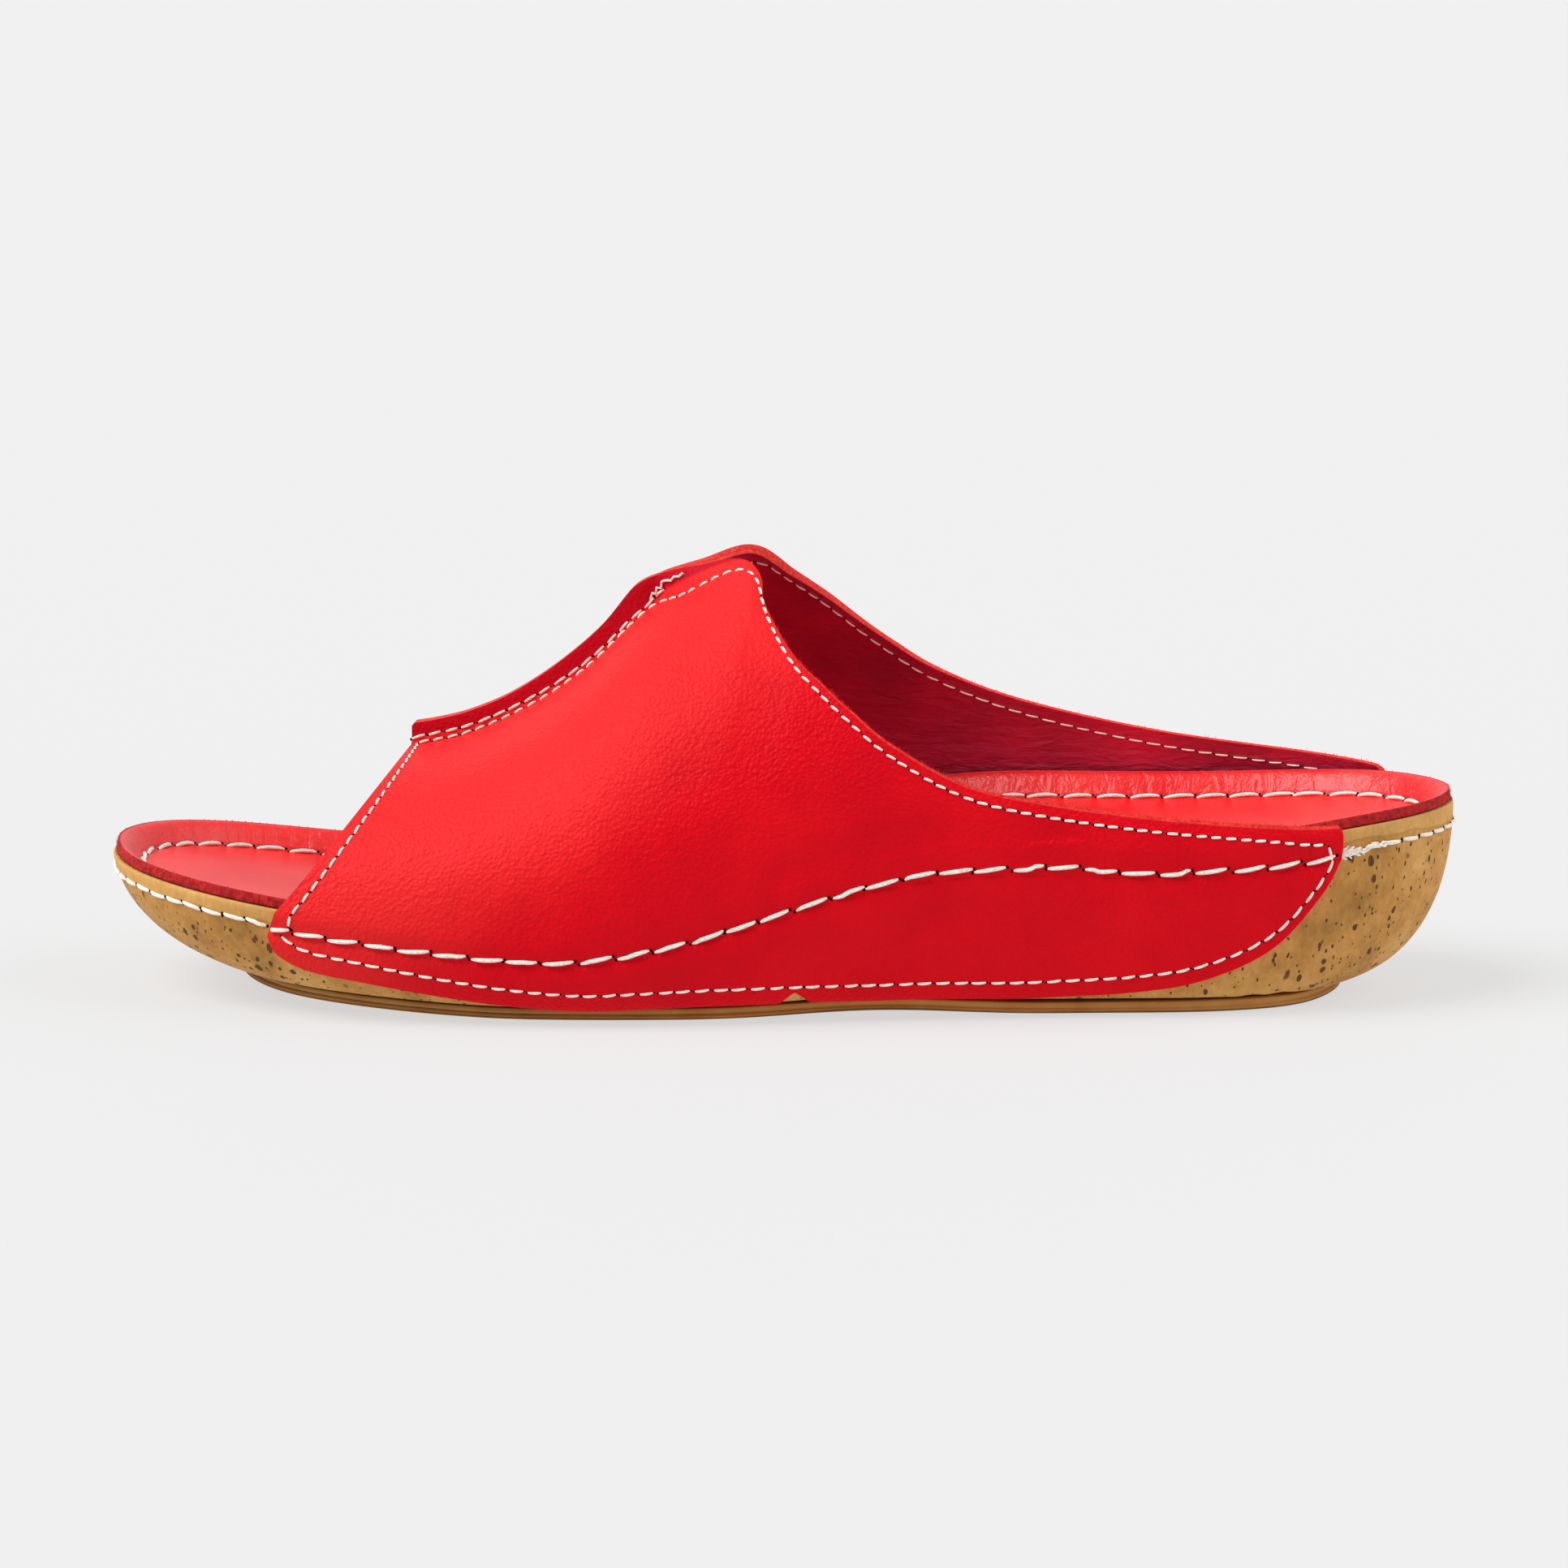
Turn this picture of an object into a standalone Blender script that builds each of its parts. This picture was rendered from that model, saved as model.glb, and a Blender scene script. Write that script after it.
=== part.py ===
"""A left mule: a moulded cup sole with a tread plate, a leather insole and an open two-panel upper.

The toe points to -X, the outer side of the foot is at -Y, and the floor is the plane Z = 0.
Places along the shoe are shares of LENGTH from the toe tip. Every solid hangs on the sole's rim
line, which is the top outer edge of the moulded sole. The finished shoe is then centred over the
origin by LENGTH / 2 and CENTRE_SHIFT.
"""

import math
from collections import namedtuple

import bmesh
import bpy
import numpy as np
from mathutils import Vector

# The last and the sole, in metres
LENGTH = 0.262
BALL_WIDTH = 0.096
WAIST_WIDTH = 0.080
HEEL_WIDTH = 0.068
TOE_RIM = 0.0256
BALL_RIM = 0.0172
HEEL_RIM = 0.0367
INSTEP_HEIGHT = 0.0840
TOE_SWING = 0.0080
CENTRE_SHIFT = 0.00195

# The moulded sole's wall, which tucks in under the shoe
TOE_TUCK = 0.026
SIDE_TUCK = 0.007
HEEL_TUCK = 0.022
TUCK_REACH = 0.090
TOE_FULLNESS = 1.8
HEEL_FULLNESS = 2.15
RIM_ROUND = 0.0004

# The tread plate
TREAD_THICKNESS = 0.0022
TREAD_GROOVE = 0.0006
TOE_SPRING = 0.0066
TOE_SPRING_CURVE = 1.4
HEEL_SPRING = 0.0015
WAIST_LIFT = 0.0014

# The leather
INSOLE_THICKNESS = 0.0020
FOREFOOT_DISH = 0.0008
HEEL_DISH = 0.0018
UPPER_WALL = 0.0022
FLANGE = 0.0038
SEAM_RISE = 0.0030
SEAM_LEAN = 0.0012
SEAM_LAP = 0.0001
VAMP_FULLNESS = 2.0
PANEL_SWEEP = 0.95

# Room between pieces that are pressed or stitched together
PIECE_GAP = 0.0003
CURVED_GAP = 0.00045

# Facets
OUTLINE_STEPS = 3
OUTLINE_PROBE = 0.02
WALL_STEPS = 6
ACROSS_STEPS = 6
PANEL_STEPS = 2
PANEL_LOW_STEPS = 4
PANEL_HIGH_STEPS = 8

# Where the tread lifts off the floor, as shares of LENGTH
TOE_SPRING_END = 0.32
WAIST_START = 0.46
WAIST_END = 0.70
HEEL_SPRING_START = 0.89

# One row for each section of the last: its place, the width that it follows, the half widths on
# the outer and inner side as shares of that width, the end of the shoe whose rim height it
# follows, and how far the rim has risen from ball height to that end's on each side.
Section = namedtuple("Section", "along width outer inner end outer_rise inner_rise")
SECTIONS = (
    Section(0.012, BALL_WIDTH, 0.120, 0.230, TOE_RIM, 1.00, 0.95),
    Section(0.042, BALL_WIDTH, 0.260, 0.340, TOE_RIM, 0.88, 0.82),
    Section(0.095, BALL_WIDTH, 0.380, 0.422, TOE_RIM, 0.68, 0.58),
    Section(0.176, BALL_WIDTH, 0.460, 0.468, TOE_RIM, 0.37, 0.27),
    Section(0.275, BALL_WIDTH, 0.506, 0.480, TOE_RIM, 0.08, 0.07),
    Section(0.382, BALL_WIDTH, 0.520, 0.462, HEEL_RIM, 0.02, 0.05),
    Section(0.496, WAIST_WIDTH, 0.590, 0.495, HEEL_RIM, 0.39, 0.45),
    Section(0.611, WAIST_WIDTH, 0.530, 0.440, HEEL_RIM, 0.81, 0.83),
    Section(0.725, HEEL_WIDTH, 0.560, 0.490, HEEL_RIM, 0.85, 0.89),
    Section(0.832, HEEL_WIDTH, 0.530, 0.500, HEEL_RIM, 0.81, 0.89),
    Section(0.920, HEEL_WIDTH, 0.435, 0.430, HEEL_RIM, 0.93, 0.95),
    Section(0.975, HEEL_WIDTH, 0.265, 0.265, HEEL_RIM, 0.985, 0.985),
)

# The insole's upper face from its cut edge down into the cup, each row so many insole thicknesses
# in from the rim line and below it. The last row is the edge of the footbed.
Flank = namedtuple("Flank", "inset drop")
FLANKS = (
    Flank(0.45, -1.08),
    Flank(1.15, -0.98),
    Flank(1.90, -0.15),
    Flank(2.45, 0.80),
    Flank(3.00, 1.25),
    Flank(4.25, 1.50),
)

# The tread plate's edge from its upper face down: how far it is set in, as a share of TREAD_GROOVE,
# and its height as a share of TREAD_THICKNESS.
EdgeStep = namedtuple("EdgeStep", "inset height")
TREAD_EDGE = (
    EdgeStep(1.0, 1.00),
    EdgeStep(0.0, 0.90),
    EdgeStep(0.0, 0.65),
    EdgeStep(0.8, 0.50),
    EdgeStep(0.0, 0.35),
    EdgeStep(0.0, 0.15),
    EdgeStep(1.0, 0.00),
)

# One row for each fold line of a panel, from the open toe to the open heel: where it crosses the
# rim, where its upper end lies, that end's height as a share of INSTEP_HEIGHT, how far it reaches
# from the rim to the middle line, how far its section turns towards level, the hem's height as a
# share of the sole wall, how far the hem runs ahead of the rim crossing, how upright the strip
# along the upper edge stands, and that strip's depth as a share of FLANGE.
Fold = namedtuple("Fold", "rim top height reach turn hem lead upright strip")
OUTER_PANEL = (
    Fold(0.1495, 0.229, 0.607, 1.000, 1.00, 0.730, 0.008, 1.00, 0.85),
    Fold(0.1550, 0.250, 0.618, 1.000, 1.00, 0.550, 0.008, 1.00, 0.85),
    Fold(0.1740, 0.273, 0.637, 1.000, 1.00, 0.410, 0.006, 1.00, 0.88),
    Fold(0.2150, 0.303, 0.677, 1.000, 1.00, 0.350, 0.004, 1.00, 0.92),
    Fold(0.2700, 0.337, 0.745, 1.000, 1.00, 0.270, 0.001, 1.00, 1.15),
    Fold(0.3250, 0.370, 0.832, 1.000, 1.00, 0.200, 0.000, 1.00, 1.40),
    Fold(0.3700, 0.397, 0.930, 1.000, 1.00, 0.150, 0.000, 1.00, 1.70),
    Fold(0.4050, 0.418, 0.957, 1.000, 1.00, 0.150, 0.000, 1.00, 1.10),
    Fold(0.4350, 0.448, 0.968, 0.910, 0.95, 0.150, 0.000, 0.70, 0.90),
    Fold(0.4620, 0.483, 0.983, 0.800, 0.85, 0.145, 0.000, 0.35, 0.90),
    Fold(0.4850, 0.495, 0.915, 0.617, 0.75, 0.130, 0.000, 0.10, 0.90),
    Fold(0.5130, 0.522, 0.812, 0.350, 0.62, 0.107, 0.000, 0.00, 0.90),
    Fold(0.5380, 0.545, 0.752, 0.231, 0.52, 0.086, 0.000, 0.00, 0.90),
    Fold(0.5600, 0.566, 0.699, 0.151, 0.46, 0.071, 0.000, 0.00, 0.90),
    Fold(0.5900, 0.593, 0.632, 0.089, 0.42, 0.063, 0.000, 0.00, 0.90),
    Fold(0.6450, 0.645, 0.539, 0.052, 0.36, 0.078, 0.000, 0.00, 0.90),
    Fold(0.7050, 0.704, 0.494, 0.036, 0.35, 0.092, 0.000, 0.00, 0.90),
    Fold(0.7700, 0.769, 0.464, 0.030, 0.35, 0.120, 0.000, 0.00, 0.90),
    Fold(0.8230, 0.822, 0.449, 0.020, 0.35, 0.190, 0.000, 0.00, 0.90),
    Fold(0.8700, 0.869, 0.437, 0.010, 0.35, 0.360, 0.000, 0.00, 0.90),
    Fold(0.8980, 0.898, 0.428, 0.010, 0.35, 0.620, 0.000, 0.00, 0.90),
    Fold(0.9150, 0.915, 0.427, 0.010, 0.35, 0.860, 0.000, 0.00, 0.90),
)
INNER_PANEL = (
    Fold(0.1630, 0.229, 0.607, 1.000, 1.00, 0.730, 0.008, 1.00, 0.85),
    Fold(0.1690, 0.250, 0.618, 1.000, 1.00, 0.550, 0.008, 1.00, 0.85),
    Fold(0.1890, 0.273, 0.637, 1.000, 1.00, 0.410, 0.006, 1.00, 0.88),
    Fold(0.2250, 0.303, 0.677, 1.000, 1.00, 0.350, 0.004, 1.00, 0.92),
    Fold(0.2750, 0.337, 0.745, 1.000, 1.00, 0.270, 0.001, 1.00, 1.15),
    Fold(0.3270, 0.370, 0.832, 1.000, 1.00, 0.200, 0.000, 1.00, 1.40),
    Fold(0.3700, 0.397, 0.930, 1.000, 1.00, 0.150, 0.000, 1.00, 1.70),
    Fold(0.4050, 0.418, 0.957, 1.000, 1.00, 0.150, 0.000, 1.00, 1.10),
    Fold(0.4350, 0.448, 0.968, 0.910, 0.95, 0.150, 0.000, 0.70, 0.90),
    Fold(0.4650, 0.480, 0.988, 0.800, 0.85, 0.145, 0.000, 0.35, 0.90),
    Fold(0.4920, 0.505, 0.932, 0.660, 0.75, 0.130, 0.000, 0.10, 0.90),
    Fold(0.5200, 0.530, 0.871, 0.500, 0.62, 0.107, 0.000, 0.00, 0.90),
    Fold(0.5470, 0.555, 0.803, 0.355, 0.52, 0.086, 0.000, 0.00, 0.90),
    Fold(0.5720, 0.578, 0.747, 0.255, 0.46, 0.071, 0.000, 0.00, 0.90),
    Fold(0.6020, 0.606, 0.690, 0.190, 0.42, 0.063, 0.000, 0.00, 0.90),
    Fold(0.6550, 0.655, 0.624, 0.100, 0.36, 0.078, 0.000, 0.00, 0.90),
    Fold(0.7120, 0.712, 0.574, 0.060, 0.35, 0.092, 0.000, 0.00, 0.90),
    Fold(0.7800, 0.780, 0.528, 0.035, 0.35, 0.120, 0.000, 0.00, 0.90),
    Fold(0.8380, 0.837, 0.501, 0.020, 0.35, 0.190, 0.000, 0.00, 0.90),
    Fold(0.8900, 0.889, 0.483, 0.010, 0.35, 0.360, 0.000, 0.00, 0.90),
    Fold(0.9240, 0.924, 0.470, 0.010, 0.35, 0.620, 0.000, 0.00, 0.90),
    Fold(0.9440, 0.944, 0.461, 0.010, 0.35, 0.860, 0.000, 0.00, 0.90),
)

OUTER, INNER = -1, 1
UP = Vector((0, 0, 1))

PAINTS = {
    "outsole": ((0.30, 0.18, 0.07, 1.0), 0.80),
    "sole": ((0.50, 0.32, 0.13, 1.0), 0.75),
    "insole": ((0.80, 0.03, 0.04, 1.0), 0.55),
    "upper": ((0.75, 0.01, 0.02, 1.0), 0.50),
}


def hermite(start, end, leave, arrive, t):
    """The cubic from start to end with the given slopes at its ends, at share t."""
    s = 1 - t
    return start * s * s * (1 + 2 * t) + end * t * t * (3 - 2 * t) + leave * t * s * s - arrive * t * t * s


def closed_curve(knots):
    """The smooth closed curve through the knots, as a function of a running number."""
    knots = np.array(knots, float)
    ones = np.eye(len(knots))
    system = 4 * ones + np.roll(ones, 1, 0) + np.roll(ones, -1, 0)
    slopes = np.linalg.solve(system, 3 * (np.roll(knots, -1, 0) - np.roll(knots, 1, 0)))

    def at(number):
        i = math.floor(number) % len(knots)
        j = (i + 1) % len(knots)
        return Vector(hermite(knots[i], knots[j], slopes[i], slopes[j], number - math.floor(number)))

    return at


def smooth_rows(rows, steps):
    """The rows with steps - 1 smooth ones added between each two."""
    knots = np.array(rows, float)
    slopes = np.gradient(knots, axis=0)
    between = [
        hermite(knots[i], knots[i + 1], slopes[i], slopes[i + 1], k / steps)
        for i in range(len(knots) - 1)
        for k in range(steps)
    ]
    return [Fold(*row) for row in [*between, knots[-1]]]


def rim_height(end, rise):
    return BALL_RIM + (end - BALL_RIM) * rise


def rim_knots():
    """Points of the rim line, from the toe tip along the outer side and back along the inner."""
    outer = [(s.along * LENGTH, -s.outer * s.width, rim_height(s.end, s.outer_rise)) for s in SECTIONS]
    inner = [(s.along * LENGTH, s.inner * s.width, rim_height(s.end, s.inner_rise)) for s in SECTIONS]
    return [(0.0, TOE_SWING, TOE_RIM), *outer, (LENGTH, 0.0, HEEL_RIM), *reversed(inner)]


RIM = closed_curve(rim_knots())
RIM_SPANS = 2 * len(SECTIONS) + 2


def rim_number(along, side):
    """The rim curve's running number where it is this far from the toe, on the given side."""
    low, high = (0.0, RIM_SPANS / 2) if side == OUTER else (float(RIM_SPANS), RIM_SPANS / 2)
    for _ in range(40):
        middle = (low + high) / 2
        if RIM(middle).x < along:
            low = middle
        else:
            high = middle
    return (low + high) / 2


def outward(number):
    """The level direction that faces away from the shoe at this place on the rim."""
    run = RIM(number + OUTLINE_PROBE) - RIM(number - OUTLINE_PROBE)
    return Vector((run.y, -run.x, 0)).normalized()


def bump(share, start, end):
    """Zero outside start and end, and a smooth rise to one between them."""
    inside = min(max((share - start) / (end - start), 0), 1)
    return math.sin(math.pi * inside) ** 2


def tread_height(along):
    """Height of the tread's lower face: flat under ball and heel, raised at toe, waist and heel end."""
    share = along / LENGTH
    toe = max(0.0, 1 - share / TOE_SPRING_END)
    heel = max(0.0, (share - HEEL_SPRING_START) / (1 - HEEL_SPRING_START))
    waist = bump(share, WAIST_START, WAIST_END)
    return TOE_SPRING * toe**TOE_SPRING_CURVE + HEEL_SPRING * heel + WAIST_LIFT * waist


def tucked(rim, height):
    """Where the sole's wall that hangs from this rim point ends, at a height above the tread."""
    from_toe = max(0.0, 1 - rim.x / TUCK_REACH)
    from_heel = max(0.0, 1 - (LENGTH - rim.x) / TUCK_REACH)
    along = rim.x + TOE_TUCK * from_toe**2 - HEEL_TUCK * from_heel**2
    across = rim.y * (1 - 2 * SIDE_TUCK / BALL_WIDTH)
    return Vector((along, across, tread_height(along) + height))


def superellipse(angle, fullness):
    """The level and upright shares of a round corner's arc, at this angle from its start."""
    return 1 - math.cos(angle) ** (2 / fullness), math.sin(angle) ** (2 / fullness)


def wall_fullness(along):
    return TOE_FULLNESS + (HEEL_FULLNESS - TOE_FULLNESS) * along / LENGTH


def wall_point(rim, foot, angle):
    """A point of the sole's wall, from the rim at angle 0 to its foot at a right angle."""
    level, upright = superellipse(angle, wall_fullness(rim.x))
    return Vector((
        rim.x + (foot.x - rim.x) * level,
        rim.y + (foot.y - rim.y) * level,
        rim.z + (foot.z - rim.z) * upright,
    ))


def sole_wall_foot(rim):
    return tucked(rim, TREAD_THICKNESS + PIECE_GAP)


def lowered(rim, amount):
    return Vector((rim.x, rim.y, rim.z - amount))


def flank_profile(depth):
    """The insole's flank offset by a depth below its upper face, as insets and drops in metres."""
    rows = [np.array(flank) * INSOLE_THICKNESS for flank in FLANKS]
    slopes = np.gradient(rows, axis=0)
    return [
        row + depth * np.array((-slope[1], slope[0])) / np.hypot(*slope)
        for row, slope in zip(rows, slopes)
    ]


def flank_rings(numbers, depth):
    """One ring for each row of the flank, from the cut edge to the footbed."""
    return [
        [lowered(RIM(n), drop) - outward(n) * inset for n in numbers]
        for inset, drop in flank_profile(depth)
    ]


def dish(along, across):
    """How far the footbed is dished at this place, across being 0 and 1 at its edges."""
    share = min(max(along / LENGTH, 0), 1)
    depth = FOREFOOT_DISH + (HEEL_DISH - FOREFOOT_DISH) * share
    return depth * math.sin(math.pi * share) * math.sin(math.pi * across) ** 2


def close_ring(mesh, ring, dished):
    """Faces that fill a ring of vertices, in rows straight across the shoe."""
    half = len(ring) // 2
    rows = [[ring[0]]]
    for i in range(1, half):
        left, right = ring[i], ring[-i]
        row = [left]
        for k in range(1, ACROSS_STEPS):
            place = left.co.lerp(right.co, k / ACROSS_STEPS)
            sink = dish(place.x, k / ACROSS_STEPS) if dished else 0
            row.append(mesh.verts.new(place - UP * sink))
        rows.append([*row, right])
    rows.append([ring[half]])
    for one, two in zip(rows, rows[1:]):
        if len(one) == 1:
            for a, b in zip(two, two[1:]):
                mesh.faces.new((one[0], a, b))
        elif len(two) == 1:
            for a, b in zip(one, one[1:]):
                mesh.faces.new((a, b, two[0]))
        else:
            for (a, b), (c, d) in zip(zip(one, one[1:]), zip(two, two[1:])):
                mesh.faces.new((a, b, d, c))


def add_object(name, mesh):
    data = bpy.data.meshes.new(name)
    mesh.to_mesh(data)
    mesh.free()
    piece = bpy.data.objects.new(name, data)
    bpy.context.collection.objects.link(piece)
    return piece


def ringed_solid(name, rings, upper_dished, lower_dished):
    """A closed solid from rings that run from its upper face, over its edge, to its lower face."""
    mesh = bmesh.new()
    loops = [[mesh.verts.new(point) for point in ring] for ring in rings]
    for one, two in zip(loops, loops[1:]):
        for i in range(len(one)):
            mesh.faces.new((one[i - 1], one[i], two[i], two[i - 1]))
    close_ring(mesh, loops[0], upper_dished)
    close_ring(mesh, loops[-1], lower_dished)
    bmesh.ops.recalc_face_normals(mesh, faces=mesh.faces)
    return add_object(name, mesh)


def outline_numbers():
    return [k / OUTLINE_STEPS for k in range(RIM_SPANS * OUTLINE_STEPS)]


def build_sole():
    numbers = outline_numbers()
    cup = list(reversed(flank_rings(numbers, INSOLE_THICKNESS + PIECE_GAP)))
    rounded = [RIM(n) - outward(n) * RIM_ROUND for n in numbers]
    edges = [lowered(RIM(n), RIM_ROUND) for n in numbers]
    wall = [
        [wall_point(edge, sole_wall_foot(edge), math.pi / 2 * k / WALL_STEPS) for edge in edges]
        for k in range(WALL_STEPS + 1)
    ]
    return ringed_solid("sole", [*cup, rounded, *wall], True, False)


def build_insole():
    numbers = outline_numbers()
    upper_face = list(reversed(flank_rings(numbers, 0)))
    lower_face = flank_rings(numbers, INSOLE_THICKNESS)
    return ringed_solid("insole", [*upper_face, *lower_face], True, True)


def build_outsole():
    """The tread plate, whose edge has a groove along its middle."""
    feet = [tucked(RIM(n), 0) for n in outline_numbers()]
    middle = Vector((LENGTH / 2, 0, 0))
    rings = []
    for step in TREAD_EDGE:
        ring = []
        for foot in feet:
            away = Vector((foot.x - middle.x, foot.y - middle.y, 0)).normalized()
            raised = foot + UP * TREAD_THICKNESS * step.height
            ring.append(raised - away * TREAD_GROOVE * step.inset)
        rings.append(ring)
    return ringed_solid("outsole", rings, False, False)


def climb(start, end, turn, steps):
    """A panel's section from the rim to its upper edge: upright at first, then leaning inwards."""
    full_level, full_upright = superellipse(math.pi / 2 * turn, VAMP_FULLNESS)
    points = []
    for k in range(steps + 1):
        level, upright = superellipse(math.pi / 2 * turn * k / steps, VAMP_FULLNESS)
        across, rise = level / full_level, upright / full_upright
        points.append(Vector((
            start.x + (end.x - start.x) * rise**PANEL_SWEEP,
            start.y + (end.y - start.y) * across,
            start.z + (end.z - start.z) * rise,
        )))
    return points


def fold_line(fold, side):
    """The inner face of a panel along one fold line, from the hem to the upper edge."""
    below = []
    for k in range(PANEL_LOW_STEPS):
        depth = 1 - k / PANEL_LOW_STEPS
        number = rim_number((fold.rim - fold.lead * depth) * LENGTH, side)
        edge = lowered(RIM(number), RIM_ROUND)
        angle = math.asin((1 - fold.hem) ** (wall_fullness(edge.x) / 2)) * depth
        clear = outward(number) * math.cos(angle) - UP * math.sin(angle)
        below.append(wall_point(edge, sole_wall_foot(edge), angle) + clear * CURVED_GAP)
    number = rim_number(fold.rim * LENGTH, side)
    start = lowered(RIM(number), RIM_ROUND) + outward(number) * CURVED_GAP
    across = RIM(number).y * (1 - fold.reach) - side * SEAM_LAP
    end = Vector((fold.top * LENGTH, across, fold.height * INSTEP_HEIGHT))
    plain = climb(start, end, fold.turn, PANEL_HIGH_STEPS)
    join = end - UP * FLANGE * fold.strip
    bend = join - UP * SEAM_RISE + Vector((0, side * SEAM_LEAN, 0))
    standing = [*climb(start, bend, fold.turn, PANEL_HIGH_STEPS - 2), join, end]
    return [*below, *(a.lerp(b, fold.upright) for a, b in zip(plain, standing))]


def build_panel(name, folds, side):
    """One leather panel: a grid of its inner face, thickened outwards."""
    mesh = bmesh.new()
    lines = [fold_line(fold, side) for fold in smooth_rows(folds, PANEL_STEPS)]
    grid = [[mesh.verts.new(point) for point in line] for line in lines]
    for one, two in zip(grid, grid[1:]):
        for (a, b), (c, d) in zip(zip(one, one[1:]), zip(two, two[1:])):
            mesh.faces.new((a, c, d, b) if side == OUTER else (b, d, c, a))
    panel = add_object(name, mesh)
    wall = panel.modifiers.new("wall", "SOLIDIFY")
    wall.thickness = UPPER_WALL
    wall.offset = 1
    wall.use_even_offset = True
    return panel


def build_upper():
    """Both panels, joined where their upturned edges meet along the instep."""
    upper = build_panel("upper", OUTER_PANEL, OUTER)
    inner = build_panel("inner_panel", INNER_PANEL, INNER)
    inner.hide_render = True
    inner.display_type = "WIRE"
    seam = upper.modifiers.new("seam", "BOOLEAN")
    seam.operation = "UNION"
    seam.solver = "EXACT"
    seam.object = inner
    return upper, inner


def paint(piece):
    colour, roughness = PAINTS[piece.name]
    material = bpy.data.materials.new(piece.name)
    material.use_nodes = True
    shader = material.node_tree.nodes["Principled BSDF"]
    shader.inputs["Base Color"].default_value = colour
    shader.inputs["Roughness"].default_value = roughness
    shader.inputs["Metallic"].default_value = 0.0
    piece.data.materials.append(material)
    piece.data.shade_smooth()
    piece.data.set_sharp_from_angle(angle=math.radians(50))


def main():
    for item in list(bpy.data.objects):
        bpy.data.objects.remove(item)
    upper, inner = build_upper()
    pieces = [build_outsole(), build_sole(), build_insole(), upper]
    mule = bpy.data.objects.new("mule", None)
    bpy.context.collection.objects.link(mule)
    mule.location = (-LENGTH / 2, CENTRE_SHIFT, 0)
    for piece in [*pieces, inner]:
        piece.parent = mule
    for piece in pieces:
        paint(piece)


main()
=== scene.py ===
import math
import random
from collections import namedtuple

import bmesh
import bpy
import numpy as np
from mathutils import Matrix, Vector
from mathutils.bvhtree import BVHTree
from mathutils.kdtree import KDTree


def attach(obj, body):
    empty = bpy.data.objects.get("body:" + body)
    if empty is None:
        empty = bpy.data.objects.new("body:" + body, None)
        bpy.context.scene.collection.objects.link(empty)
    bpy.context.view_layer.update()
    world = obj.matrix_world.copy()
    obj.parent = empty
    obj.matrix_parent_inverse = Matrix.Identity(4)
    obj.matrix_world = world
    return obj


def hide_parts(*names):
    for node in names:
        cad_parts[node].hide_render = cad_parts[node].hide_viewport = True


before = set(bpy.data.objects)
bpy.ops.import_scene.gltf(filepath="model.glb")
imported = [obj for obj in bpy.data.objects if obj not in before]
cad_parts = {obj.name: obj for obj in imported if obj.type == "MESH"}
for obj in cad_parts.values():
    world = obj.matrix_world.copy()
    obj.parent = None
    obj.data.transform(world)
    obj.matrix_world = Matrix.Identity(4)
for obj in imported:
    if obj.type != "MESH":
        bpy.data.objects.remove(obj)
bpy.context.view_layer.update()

random.seed(11)


# The studio: the shoe stands on a pale seamless floor under large soft lamps, seen from its outer
# side, a little above the floor. The lens is long, so the shoe is hardly in perspective.
FRAME_PIXELS = 1932
LENS_PIXELS = 10170
EYE_DISTANCE = 1.6
EYE_YAW = math.radians(4.5)
EYE_RISE = math.radians(9.2)
EYE_ROLL = math.radians(-0.5)
LOOK_AT = Vector((0.0012, 0.00195, 0.0390))
FLOOR_SHADE, FLOOR_GLOW = 0.18, 0.615
UP = Vector((0, 0, 1))

back = Vector((
    math.sin(EYE_YAW) * math.cos(EYE_RISE),
    -math.cos(EYE_YAW) * math.cos(EYE_RISE),
    math.sin(EYE_RISE),
))
level = UP.cross(back).normalized()
upright = back.cross(level)
right = level * math.cos(EYE_ROLL) + upright * math.sin(EYE_ROLL)
top = back.cross(right)
camera = bpy.data.objects.new("camera", bpy.data.cameras.new("camera"))
camera.data.lens = LENS_PIXELS / FRAME_PIXELS * camera.data.sensor_width
camera.matrix_world = Matrix.Translation(LOOK_AT + back * EYE_DISTANCE) @ Matrix(
    (right, top, back)).transposed().to_4x4()
bpy.context.collection.objects.link(camera)
bpy.context.scene.camera = camera
bpy.context.scene.view_settings.view_transform = "Standard"

Lamp = namedtuple("Lamp", "name towards spread strength")
LAMPS = (
    Lamp("key", (-0.58, -0.22, 0.78), 46.0, 3.0),
    Lamp("heel_side", (0.95, -0.05, 0.60), 60.0, 1.3),
    Lamp("backdrop", (0.0, 0.90, 0.35), 70.0, 0.35),
)
for lamp in LAMPS:
    light = bpy.data.objects.new(lamp.name, bpy.data.lights.new(lamp.name, "SUN"))
    light.data.angle = math.radians(lamp.spread)
    light.data.energy = lamp.strength
    light.rotation_mode = "QUATERNION"
    light.rotation_quaternion = Vector(lamp.towards).to_track_quat("Z", "Y")
    bpy.context.collection.objects.link(light)

world = bpy.data.worlds.new("studio")
world.use_nodes = True
world.node_tree.nodes["Background"].inputs["Color"].default_value = (1.0, 1.0, 1.0, 1.0)
world.node_tree.nodes["Background"].inputs["Strength"].default_value = 0.34
bpy.context.scene.world = world

sheet = bmesh.new()
bmesh.ops.create_grid(sheet, x_segments=1, y_segments=1, size=8.0)
floor_mesh = bpy.data.meshes.new("floor")
sheet.to_mesh(floor_mesh)
sheet.free()
floor = bpy.data.objects.new("floor", floor_mesh)
bpy.context.collection.objects.link(floor)


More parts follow.
